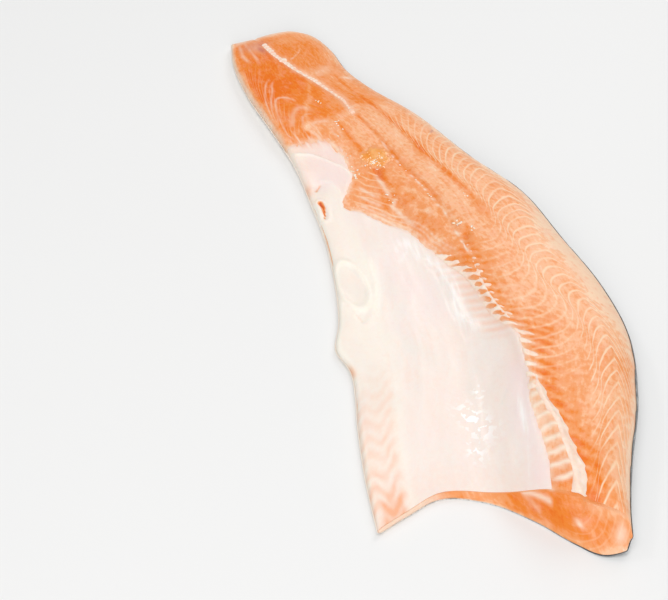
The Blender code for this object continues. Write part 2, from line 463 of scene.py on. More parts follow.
@dataclass(frozen=True)
class Landmarks:
    """Places of what shows on the flesh, as paths of (u, v)."""

    tail_septum: Path = (
        (0.028, 0.385), (0.05, 0.4), (0.075, 0.42), (0.095, 0.46), (0.12, 0.505), (0.15, 0.562),
        (0.17, 0.588), (0.2, 0.598), (0.225, 0.6), (0.24, 0.58), (0.26, 0.552), (0.278, 0.532))
    pin_line: Profile = Profile((
        (0.27, 0.54), (0.31, 0.537), (0.36, 0.525), (0.4, 0.51), (0.465, 0.503), (0.508, 0.51),
        (0.55, 0.52), (0.6, 0.523), (0.66, 0.52), (0.7, 0.522), (0.73, 0.535), (0.76, 0.565),
        (0.78, 0.592), (0.82, 0.605), (0.86, 0.63)))
    lining_top: Profile = Profile((
        (0.5, 0.235), (0.54, 0.33), (0.6, 0.405), (0.63, 0.436), (0.66, 0.474), (0.7, 0.496),
        (0.73, 0.508), (0.755, 0.53), (0.775, 0.57), (0.8, 0.588), (0.85, 0.603), (0.9, 0.628),
        (1.0, 0.69)))
    lining_turns: int = 160
    lining_edge: Path = (
        (0.297, -0.05), (0.299, 0.03), (0.301, 0.12), (0.308, 0.2), (0.318, 0.255), (0.34, 0.275),
        (0.37, 0.277), (0.4, 0.265), (0.413, 0.235), (0.43, 0.19), (0.445, 0.152), (0.458, 0.142),
        (0.468, 0.152), (0.48, 0.195), (0.5, 0.235), (0.52, 0.275), (0.54, 0.33), (0.56, 0.365),
        (0.58, 0.38), (0.6, 0.405), (0.63, 0.436), (0.66, 0.474), (0.7, 0.496), (0.73, 0.508),
        (0.755, 0.53), (0.775, 0.57), (0.8, 0.588), (0.85, 0.603), (0.9, 0.628), (0.95, 0.675),
        (0.985, 0.69), (1.03, 0.69))
    rib_ridge: Path = (
        (0.85, 0.628), (0.872, 0.645), (0.896, 0.683), (0.912, 0.72), (0.936, 0.749),
        (0.956, 0.774), (0.97, 0.795), (0.984, 0.8), (1.0, 0.795))
    gut_cord: Path = (
        (0.316, 0.0), (0.322, 0.05), (0.33, 0.11), (0.345, 0.16), (0.365, 0.207),
        (0.38, 0.243), (0.405, 0.262))
    fibre_fold: Path = (
        (0.556, 0.25), (0.563, 0.3), (0.575, 0.335), (0.6, 0.357), (0.62, 0.388), (0.645, 0.412),
        (0.67, 0.42), (0.7, 0.418), (0.725, 0.42), (0.745, 0.45), (0.765, 0.49))
    vent: Path = ((0.434, 0.037), (0.443, 0.042), (0.454, 0.037), (0.467, 0.028))
    pad_fold: Path = ((0.566, 0.14), (0.609, 0.152), (0.646, 0.142), (0.679, 0.125))
    dashes: Path = (
        (0.362, 0.010), (0.39, 0.004), (0.405, 0.004), (0.445, 0.004), (0.463, 0.006), (0.481, 0.003),
        (0.505, 0.004), (0.52, 0.003), (0.54, 0.004), (0.583, 0.006), (0.601, 0.004), (0.618, 0.006))
    grooves: tuple[Path, ...] = (
        ((0.425, 0.245), (0.445, 0.275), (0.468, 0.305)), ((0.445, 0.225), (0.465, 0.26), (0.488, 0.305)),
        ((0.462, 0.2), (0.487, 0.25), (0.512, 0.31)),
        ((0.475, 0.20), (0.5, 0.255), (0.525, 0.305), (0.555, 0.35)),
        ((0.48, 0.33), (0.5, 0.342), (0.525, 0.365), (0.555, 0.4)),
        ((0.41, 0.362), (0.445, 0.357), (0.48, 0.35)), ((0.474, 0.37), (0.488, 0.348), (0.499, 0.325)))
    vent_slit: Path = ((0.393, 0.085), (0.4, 0.062), (0.408, 0.038))
    pad_slit: Path = ((0.662, 0.066), (0.672, 0.078), (0.685, 0.1))
    skirt: Path = ((0.385, 0.08), (0.395, 0.125), (0.415, 0.147), (0.44, 0.15))

    def ridge_at(self, u: Array) -> Array:
        """Return the rib ridge's place across the fillet."""
        return np.interp(u, *zip(*self.rib_ridge))


MARKS = Landmarks()


def rounded(path: Sequence[Point], turns: int) -> Array:
    """Return a smooth curve through a path, as so many points."""
    return hermite(np.linspace(0, 1, len(path)), np.array(path), np.linspace(0, 1, turns))


class Canvas:
    """Places on the fillet where masks are worked out."""

    def __init__(self, form: FilletForm, u: Array, v: Array) -> None:
        """Keep the places and where they lie in plan.

        Args:
            form: The fillet.
            u: Shares from tail to head.
            v: Shares from belly to back.
        """
        self.form = form
        self.u, self.v = np.broadcast_arrays(np.asarray(u, float), np.asarray(v, float))
        place = form.leaned(self.u, self.v, 1.0)
        self.x, self.y = place[..., 0], place[..., 1]

    def rough(self, size: float, seed: int, octaves: int = 2) -> Array:
        """Return unevenness over the plan."""
        return Unevenness(size, seed, octaves).at(self.x, self.y)

    def grained(self, along: float, across: float, seed: int) -> Array:
        """Return unevenness with swells of one size along the body and another across it."""
        return Unevenness(1.0, seed).at(self.u * self.form.body_length / along, self.v * WIDTH / across)

    def walk(self, path: Sequence[Point], turns: int = 40) -> Array:
        """Return points in plan on a smooth curve through a path of shares."""
        smooth = rounded(path, turns)
        return self.form.leaned(np.clip(smooth[:, 0], 0, 1), smooth[:, 1], 1.0)

    def reach(self, path: Sequence[Point], turns: int = 40) -> tuple[Array, Array]:
        """Return how far each place is from a path, and how far along the path it is nearest.

        Args:
            path: Points of (u, v) that the path goes through.
            turns: How many points the smooth path is divided into.

        Returns:
            The distances in millimetres, and the shares of the path.
        """
        line = self.walk(path, turns)
        best = np.full(self.u.shape, np.inf)
        share = np.zeros(self.u.shape)
        for k, (a, b) in enumerate(zip(line, line[1:])):
            d = b - a
            t = ((self.x - a[0]) * d[0] + (self.y - a[1]) * d[1]) / (d @ d)
            t = np.clip(t, 0, 1)
            gap = np.hypot(self.x - a[0] - t * d[0], self.y - a[1] - t * d[1])
            closer = gap < best
            best = np.where(closer, gap, best)
            share = np.where(closer, (k + t) / (turns - 1), share)
        return best, share

    def stroke(self, path: Sequence[Point], width: float, taper: float = 0.0) -> Array:
        """Return a soft line along a path.

        Args:
            path: Points of (u, v) that the line goes through.
            width: Half width in millimetres.
            taper: Share of the path over which each end fades.

        Returns:
            1 on the line, fading to 0 beside it.
        """
        gap, share = self.reach(path)
        ends = step(-0.001, taper, share) * (1 - step(1 - taper, 1.001, share)) if taper else 1.0
        return bump(gap, width) * ends

    def blob(self, at: Point, size: Point, turn: float = 0.0) -> Array:
        """Return a soft oval spot.

        Args:
            at: The spot's (u, v).
            size: Its half length and half width in millimetres.
            turn: Degrees from the body's length to its own.

        Returns:
            1 at its middle, fading to 0 outside.
        """
        centre = self.form.leaned(np.array(at[0]), np.array(at[1]), 1.0)
        dx, dy = self.x - centre[0], self.y - centre[1]
        c, s = math.cos(math.radians(turn)), math.sin(math.radians(turn))
        return np.exp(-(((dx * c + dy * s) / size[0]) ** 2) - ((dy * c - dx * s) / size[1]) ** 2)

    def inside_lining(self) -> Array:
        """Return how far each place is inside the edge of the belly lining.

        Returns:
            The distance in millimetres, below zero outside.
        """
        gap, _ = self.reach(MARKS.lining_edge, MARKS.lining_turns)
        top = np.interp(self.u, *rounded(MARKS.lining_edge, MARKS.lining_turns).T)
        inside = (self.v < top) & (self.u > MARKS.lining_edge[0][0])
        return np.where(inside, gap, -gap)


# ---------------------------------------------------------------- marks that masks are made of


class Near(NamedTuple):
    """A range with soft ends round a middle."""

    middle: float
    width: float


def within(reach: Range, x: Array) -> Array:
    """Return how far each place is within a range, from 0 to 1.

    Args:
        reach: Empty for everywhere, two ends of a step, the ends and the fade of a window, the
            two steps of a window, or a Near.
        x: The places asked for.

    Returns:
        The share at each place.
    """
    if isinstance(reach, Near):
        return bump(x - reach.middle, reach.width)
    if len(reach) == 2:
        return step(*reach, x)
    if len(reach) == 3:
        return window(*reach, x)
    return step(reach[0], reach[1], x) * step(reach[3], reach[2], x) if reach else np.ones_like(x)


@dataclass(frozen=True)
class Mark:
    """Something that adds an amount to a mask, evenly or with (swing, size, seed) of unevenness."""

    amount: float
    uneven: tuple[float, float, int] | None = field(default=None, kw_only=True)

    def shape(self, canvas: Canvas) -> Array:
        """Return the mark's shape, from 0 to 1."""
        raise NotImplementedError

    def on(self, canvas: Canvas) -> Array:
        """Return what the mark adds.

        Args:
            canvas: The places asked for.

        Returns:
            The amount at each place.
        """
        added = self.amount * self.shape(canvas)
        if self.uneven is None:
            return added
        swing, size, seed = self.uneven
        return added * (1 + swing * canvas.rough(size, seed))


@dataclass(frozen=True)
class Area(Mark):
    """A part of the fillet between ranges along and across it."""

    along: Range = ()
    across: Range = ()

    def shape(self, canvas: Canvas) -> Array:
        """Return the area, fading at its edges."""
        return within(self.along, canvas.u) * within(self.across, canvas.v)


@dataclass(frozen=True)
class Spot(Mark):
    """A soft oval, placed by (u, v), with its half sizes in millimetres and its turn in degrees."""

    at: Point
    size: Point
    turn: float = 0.0

    def shape(self, canvas: Canvas) -> Array:
        """Return the oval."""
        return canvas.blob(self.at, self.size, self.turn)


@dataclass(frozen=True)
class Line(Mark):
    """A soft line along a path, with its half width in millimetres."""

    path: Path
    width: float
    taper: float = 0.0

    def shape(self, canvas: Canvas) -> Array:
        """Return the line."""
        return canvas.stroke(self.path, self.width, self.taper)


def add_up(marks: Sequence[Mark], canvas: Canvas) -> Array:
    """Return the sum of marks."""
    return sum(mark.on(canvas) for mark in marks)


def strongest(marks: Sequence[Mark], canvas: Canvas) -> Array:
    """Return the strongest of marks at each place."""
    return np.maximum.reduce([mark.on(canvas) for mark in marks])


def limited(**masks: Array) -> dict[str, Array]:
    """Return masks by name, kept between 0 and 1."""
    return {name: np.clip(values, 0, 1) for name, values in masks.items()}


def teeth(phase: Array, width: float) -> Array:
    """Return bumps where a count passes whole numbers."""
    return bump(phase - np.round(phase), width)


# ---------------------------------------------------------------- flesh


@dataclass(frozen=True)
class RibComb:
    """The row of rib ends along the upper edge of the belly lining.

    Cream bars run from the lining to the spine line, with pointed gaps of flesh between them.
    A cream thread follows the line, with rounded tips on its other side.  Further on the
    lining's edge grows short spikes.
    """

    count: Profile = Profile(((0.56, 0.0), (0.72, 11.8), (0.78, 16.0), (0.86, 20.6), (1.0, 28.6)))
    slant: float = 0.146
    first: float = 0.605
    last: float = 0.868
    pitch: float = 6.6
    gap_width: float = 2.3
    gap_least: float = 2.7
    foot_sink: float = 0.008
    tip_size: float = 1.5
    tip_place: float = 0.011
    tip_shift: float = 0.35
    spike_height: float = 0.036
    spike_start: Point = (0.752, 0.762)

    def phase(self, canvas: Canvas) -> Array:
        """Return a count that passes a whole number at each rib."""
        lean = self.slant * (canvas.v - MARKS.pin_line.at(canvas.u))
        return self.count.at(canvas.u - lean) + 0.10 * canvas.rough(7.0, 52)

    def from_rib(self, canvas: Canvas, shift: float = 0.0) -> Array:
        """Return how far each place is from a rib.

        Args:
            canvas: The places asked for.
            shift: Moves the ribs, as a share of their distance.

        Returns:
            From 0 on a rib to 1 half way to the next.
        """
        phase = self.phase(canvas) + shift
        return 2 * np.abs(phase - np.round(phase))

    def reach(self, canvas: Canvas) -> Array:
        """Return how far each place is inside the cream tissue.

        Args:
            canvas: The places asked for.

        Returns:
            The distance in millimetres, below zero outside the tissue.
        """
        u, v = canvas.u, canvas.v
        line, foot = MARKS.pin_line.at(u), MARKS.lining_top.at(u)
        fine = 0.30 * canvas.rough(5.0, 51) + 0.22 * canvas.rough(2.2, 53)
        near = self.from_rib(canvas)
        late = step(*self.spike_start, u)
        early = np.maximum.reduce([self.bars(canvas, line, foot, fine), self.tips(canvas, line, fine),
                                   self.thread(canvas, line)])
        tall = self.spike_height * (1 + 0.8 * canvas.rough(7.0, 57))
        high = (v - foot) / tall
        spikes = (0.5 * np.sqrt(np.clip(1 - high, 0, 1)) + 0.6 * fine - near) * self.pitch / 2
        spikes = np.minimum(spikes, np.minimum((1 - high) * tall, v - foot + self.foot_sink) * WIDTH)
        ends = np.minimum((u - self.first) * LENGTH, (self.last - u) * LENGTH)
        return np.minimum(early * (1 - late) + spikes * late, ends)

    def bars(self, canvas: Canvas, line: Array, foot: Array, fine: Array) -> Array:
        """Return how far each place is inside the bars, between pointed gaps.

        Args:
            canvas: The places asked for.
            line: The place across of the pin line.
            foot: The place across of the lining's edge.
            fine: The unevenness of the outlines.

        Returns:
            The distance in millimetres.
        """
        u, v = canvas.u, canvas.v
        across = (1 - self.from_rib(canvas)) * self.pitch / 2
        along = np.abs(v - np.minimum((line + foot) / 2, line - 0.015)) * WIDTH
        long = np.maximum((line - foot) * WIDTH / 2, self.gap_least)
        wide = self.gap_width * (1 + 0.6 * canvas.rough(8.0, 58))
        hole = ((across / wide) ** 1.5 + (along / long) ** 1.5) ** 0.667
        full = 0.42 + 0.58 * step(0.638, 0.668, u) + 0.25 * canvas.rough(8.0, 59)
        upto = foot + (line - foot + 0.004) * np.minimum(full, 1)
        ends = np.minimum(upto - v, v - foot + self.foot_sink) * WIDTH
        return np.minimum((hole - 1 + fine) * 1.9, ends)

    def tips(self, canvas: Canvas, line: Array, fine: Array) -> Array:
        """Return how far each place is inside the rounded tips beyond the line.

        Args:
            canvas: The places asked for.
            line: The place across of the pin line.
            fine: The unevenness of the outlines.

        Returns:
            The distance in millimetres.
        """
        grown = step(0.6, 0.65, canvas.u) * (0.8 + 1.1 * canvas.rough(7.0, 56))
        across = self.from_rib(canvas, self.tip_shift) * self.pitch / 2
        along = (canvas.v - line - self.tip_place) * 150
        return self.tip_size * grown + 1.6 * fine - np.hypot(across, along)

    def thread(self, canvas: Canvas, line: Array) -> Array:
        """Return how far each place is inside the thread along the line."""
        wide = 0.15 + 0.25 * step(0.63, 0.68, canvas.u) + 1.0 * canvas.rough(3.0, 55)
        return wide - np.abs(canvas.v - line - 0.004 * canvas.rough(6.0, 54)) * WIDTH


@dataclass(frozen=True)
class FleshForm(FilletForm):
    """The flesh inside the skin, with its fine relief."""

    septa: Septa = Septa()
    ribs: RibComb = RibComb()
    inset: float = 0.6
    rim_rise: float = 0.4
    floor_gap: float = 0.75
    narrowest: float = 170.0
    rim_width: float = 0.1

    strength_marks: tuple[Mark, ...] = (
        Area(0.95, (0.74, 0.8), (0.872, 0.965, 0.02)), Area(0.45, (0.6, 0.82, 0.06), (0.6, 0.76, 0.05)),
        Area(0.16, (0.28, 0.34), (0.57, 0.74, 0.03)), Area(0.26, (0.11, 0.27, 0.03), (0.24, 0.12)),
        Area(0.3, (0.3, 0.8, 0.1), (0.88, 0.93)), Area(0.5, (0.412, 0.56, 0.012), (0.2, 0.372, 0.02)))
    relief_marks: tuple[Mark, ...] = (
        Area(-0.75, (0.72, 0.97, 0.1), (0.7, 0.9, 0.1)), Line(-0.9, MARKS.vent, 2.2, 0.15),
        Line(-0.8, MARKS.vent_slit, 1.2, 0.2), Line(-0.7, MARKS.pad_slit, 1.3, 0.2),
        Spot(-1.3, (0.592, 0.553), (5.0, 2.6), -25), Spot(-0.9, (0.412, 0.392), (6.0, 3.5), -15))
    dorsal_line: Profile = Profile(((0.16, 0.80), (0.22, 0.765), (0.3, 0.735), (0.37, 0.715), (0.42, 0.69),
                                    (0.5, 0.685), (0.6, 0.70)))

    def septum_phase(self, canvas: Canvas) -> Array:
        """Return the count of the lines across the flesh, with the rib grooves' own in their patch.

        Args:
            canvas: The places asked for.

        Returns:
            A count that passes a whole number at each line.
        """
        u, v = canvas.u, canvas.v
        phase = self.septa.phase(u, v, self.spine_line.at(u))
        phase = phase + 0.24 * canvas.rough(24.0, 11) + 0.10 * canvas.rough(6.0, 12)
        grooves = (u - 0.4 * (v - 0.24) - 0.43) / 0.0215 + 0.3 * canvas.rough(11.0, 13)
        patch = window(0.405, 0.56, 0.004, u) * step(0.385, 0.375, v)
        return phase * (1 - patch) + grooves * patch

    def septum_strength(self, canvas: Canvas) -> Array:
        """Return how strongly the lines show.

        Args:
            canvas: The places asked for.

        Returns:
            The strength, from 0 to 1.
        """
        u, v = canvas.u, canvas.v
        peak, bundle = self.septa.peak.at(u), self.septa.bundle.at(u)
        below = 0.008 + 0.022 * step(0.54, 0.6, u)
        hooks = window(0.0, 1.0, 0.06, (v - bundle + below) / (peak - bundle + 0.06)) * step(0.24, 0.36, u)
        strength = np.maximum(0.9 * hooks, strongest(self.strength_marks, canvas))
        strength = strength * (1 + 0.4 * bump(v - bundle - 0.015, 0.03))
        strength = strength * (1 - step(0.02, 0.0, np.abs(v - self.spine_line.at(u))) * 0.8)
        strength = strength * (1 - 0.85 * step(0.88, 0.96, u) * step(0.9, 0.84, v))
        return np.clip(strength * (0.82 + 0.6 * canvas.rough(13.0, 14)), 0, 1)

    def streaks(self, canvas: Canvas) -> Array:
        """Return the deep streaks between the long muscles.

        Args:
            canvas: The places asked for.

        Returns:
            The streaks' depth, from 0 to 1.
        """
        u, v = canvas.u, canvas.v
        waver = 0.008 * canvas.rough(30.0, 21)
        dorsal = bump(v - self.dorsal_line.at(u) - waver, 0.022) * window(0.2, 0.5, 0.06, u)
        spine = bump(v - MARKS.pin_line.at(u) - 0.012 - waver, 0.013) * window(0.29, 0.5, 0.04, u)
        ventral = bump(v - 0.385 - waver, 0.015) * window(0.3, 0.43, 0.03, u)
        broken = 0.75 + 0.5 * canvas.grained(9.0, 4.0, 22)
        return np.clip(np.maximum.reduce([dorsal, 0.8 * spine, 0.9 * ventral]) * broken, 0, 1)

    def fine_relief(self, canvas: Canvas) -> Array:
        """Return the fine relief of the flesh side, which fades towards its edges.

        Args:
            canvas: The places asked for.

        Returns:
            The height in millimetres.
        """
        u, v = canvas.u, canvas.v
        height = -0.24 * self.septum_strength(canvas) * teeth(self.septum_phase(canvas), 0.16)
        height = height - 0.22 * self.streaks(canvas) + add_up(self.relief_marks, canvas)
        height = height + 0.32 * canvas.rough(42.0, 31) + 0.14 * canvas.rough(10.0, 32)
        height = height + 0.05 * canvas.grained(14.0, 2.2, 33)
        comb = self.ribs.from_rib(canvas) * window(0.6, 0.9, 0.02, u) * bump(v - MARKS.pin_line.at(u), 0.03)
        height = height + 0.45 * (comb + self.rib_bars(canvas))
        edges = np.minimum(np.minimum(v, 1 - v) * WIDTH, np.minimum(u, 1 - u) * LENGTH)
        return height * step(0.5, 7.0, edges) - self.cut_roll(canvas)

    def rib_bars(self, canvas: Canvas) -> Array:
        """Return the soft ribs between the lining and the ridge.

        Args:
            canvas: The places asked for.

        Returns:
            The ribs' height, from 0 to 1.
        """
        u, v = canvas.u, canvas.v
        ridge = MARKS.ridge_at(u)
        phase = self.ribs.count.at(u + 0.12 * (v - 0.7)) + 0.16 * canvas.rough(6.0, 123)
        room = step(0.012, -0.004, v - ridge) * window(0.862, 0.985, 0.01, u)
        return teeth(phase, 0.23) * room * step(2.0, -1.0, canvas.inside_lining())

    def cut_roll(self, canvas: Canvas) -> Array:
        """Return how far the loin rolls down into the head cut.

        Args:
            canvas: The places asked for.

        Returns:
            The depth in millimetres.
        """
        near = 1 - quarter_round(1 - canvas.u, 0.036)
        depth = 2.0 * step(0.6, 0.72, canvas.v) + 6.0 * step(0.72, 0.88, canvas.v)
        return near * depth * step(1.0, 0.9, canvas.v)

    def point(self, u: Array, v: Array) -> Array:
        """Return points on the flesh side.

        Args:
            u: Shares from tail to head.
            v: Shares from belly to back.

        Returns:
            An array of x, y and z with one more axis than u.
        """
        canvas = Canvas(self, u, v)
        rim = self.rim_rise * (1 - quarter_round(np.minimum(canvas.v, 1 - canvas.v), self.rim_width))
        height = self.flesh_height(canvas.u, canvas.v) + rim + self.fine_relief(canvas)
        return self.placed(canvas, 0.5, height)

    def under(self, u: Array, v: Array) -> Array:
        """Return points on the underside of the flesh, just above the skin.

        Args:
            u: Shares from tail to head.
            v: Shares from belly to back.

        Returns:
            An array of x, y and z with one more axis than u.
        """
        canvas = Canvas(self, u, v)
        gap = quarter_round(np.minimum(canvas.v, 1 - canvas.v), self.rim_width)
        gap = gap * (self.floor_gap - self.rim_rise)
        return self.placed(canvas, -0.5, self.skin_height(canvas.u, canvas.v) + self.rim_rise + gap)

    def placed(self, canvas: Canvas, lean: float, height: Array) -> Array:
        """Return points of the flesh, moved in from all four edges by the skin's thickness.

        Args:
            canvas: The places asked for.
            lean: The side of the leaning rim, 0.5 for the flesh side and -0.5 for the underside.
            height: The height at each place, in millimetres.

        Returns:
            An array of x, y and z with one more axis than the height.
        """
        across, along = self.inset / self.narrowest, self.inset / self.body_length
        turn = self.from_rim(canvas.v, self.rim_turn)
        u, v = along + (1 - 1.6 * along) * canvas.u, across + (1 - 2 * across) * canvas.v
        return self.surface(u, v, 0.5 + lean * turn, height)


# ---------------------------------------------------------------- mesh making


def linked(name: str, data: bpy.types.ID) -> Object:
    """Return a new object of the scene.

    Args:
        name: Its name.
        data: Its mesh, light or camera.

    Returns:
        The object.
    """
    item = bpy.data.objects.new(name, data)
    bpy.context.scene.collection.objects.link(item)
    return item


class Shell:
    """Points and faces of one closed body, gathered grid by grid."""

    def __init__(self) -> None:
        """Start with no points and no faces."""
        self.points: list[Array] = []
        self.count = 0
        self.corners: list[Array] = []
        self.places: list[Array] = []

    def add_points(self, points: Array) -> Array:
        """Keep points.

        Args:
            points: Places in millimetres, in any layout.

        Returns:
            Their numbers, in the same layout.
        """
        numbers = np.arange(self.count, self.count + points[..., 0].size).reshape(points.shape[:-1])
        self.points.append(points.reshape(-1, 3))
        self.count += numbers.size
        return numbers

    def add_faces(self, numbers: Array, places: Array) -> None:
        """Keep faces of three or four corners, with each corner's place on the flat map."""
        self.corners.append(numbers)
        self.places.append(places)

    def add_grid(self, numbers: Array, places: Array, keep: Array | None = None) -> None:
        """Join a grid of point numbers with faces.

        Args:
            numbers: Point numbers, rows from tail to head.
            places: Each point's place on the flat map.
            keep: Which of the grid's cells get a face, or None for all.
        """
        def cells(grid: Array) -> Array:
            """Return the four corners of each cell."""
            return np.stack([grid[:-1, :-1], grid[1:, :-1], grid[1:, 1:], grid[:-1, 1:]], axis=2)

        faces, spots = cells(numbers), cells(places)
        if keep is None:
            keep = np.ones(faces.shape[:2], bool)
        faces, spots = faces[keep], spots[keep]
        new = faces != np.roll(faces, 1, axis=1)
        whole = new.all(axis=1)
        self.add_faces(faces[whole], spots[whole])
        if not whole.all():
            rest = new[~whole]
            self.add_faces(faces[~whole][rest].reshape(-1, 3), spots[~whole][rest].reshape(-1, 3, 2))

    def stitch(self, near: Array, near_at: Array, far: Array, far_at: Array,
               low: Point, high: Point) -> None:
        """Join two rows of different counts with triangles.

        Args:
            near: Point numbers of the first row.
            near_at: Where each lies along the row, rising.
            far: Point numbers of the second row.
            far_at: Where each of those lies, rising.
            low: Corner on the flat map for the start of the first row.
            high: Corner for the end of the second.
        """
        left, right = ([(side, low[1] + t * (high[1] - low[1])) for t in at]
                       for side, at in ((low[0], near_at), (high[0], far_at)))
        i = j = 0
        faces, spots = [], []
        while i < len(near) - 1 or j < len(far) - 1:
            if j == len(far) - 1 or (i < len(near) - 1 and near_at[i + 1] <= far_at[j + 1]):
                face, spot = (near[i], near[i + 1], far[j]), (left[i], left[i + 1], right[j])
                i += 1
            else:
                face, spot = (near[i], far[j + 1], far[j]), (left[i], right[j + 1], right[j])
                j += 1
            if len(set(face)) == 3:
                faces.append(face)
                spots.append(spot)
        self.add_faces(np.array(faces), np.array(spots))

    def make(self, name: str, masks: dict[str, Array]) -> Object:
        """Return the body as an object, closed and with its faces outward.

        Args:
            name: The piece's name.
            masks: Values by name, one for each point or three for a vector.

        Returns:
            The new object, linked to the scene.
        """
        mesh = bpy.data.meshes.new(name)
        points = np.concatenate(self.points) * MM
        sizes = np.concatenate([np.full(len(f), f.shape[1]) for f in self.corners])
        corners = np.concatenate([f.reshape(-1) for f in self.corners])
        places = np.concatenate([p.reshape(-1, 2) for p in self.places])
        mesh.vertices.add(len(points))
        mesh.vertices.foreach_set("co", points.astype(np.float32).reshape(-1))
        mesh.loops.add(len(corners))
        mesh.loops.foreach_set("vertex_index", corners.astype(np.int32))
        mesh.polygons.add(len(sizes))
        mesh.polygons.foreach_set("loop_start", (np.cumsum(sizes) - sizes).astype(np.int32))
        mesh.uv_layers.new(name="OFBake").data.foreach_set("uv", places.astype(np.float32).reshape(-1))
        for mask, values in masks.items():
            kind, key = ("FLOAT_VECTOR", "vector") if values.ndim > 1 else ("FLOAT", "value")
            attribute = mesh.attributes.new(mask, kind, "POINT")
            attribute.data.foreach_set(key, values.astype(np.float32).reshape(-1))
        mesh.update(calc_edges=True)
        mesh.validate()
        self.face_outward(mesh)
        mesh.shade_smooth()
        mesh.set_sharp_from_angle(angle=math.radians(75))
        return linked(name, mesh)

    @staticmethod
    def face_outward(mesh: Mesh) -> None:
        """Turn the faces of a closed mesh outward and drop points that no face uses.

        Args:
            mesh: The mesh to change.
        """
        work = bmesh.new()
        work.from_mesh(mesh)
        loose = [vertex for vertex in work.verts if not vertex.link_faces]
        bmesh.ops.delete(work, geom=loose, context="VERTS")
        bmesh.ops.recalc_face_normals(work, faces=work.faces)
        if work.calc_volume(signed=True) < 0:
            bmesh.ops.reverse_faces(work, faces=work.faces)
        work.to_mesh(mesh)
        work.free()


# ---------------------------------------------------------------- finishes


Outputs = bpy.types.NodeOutputs


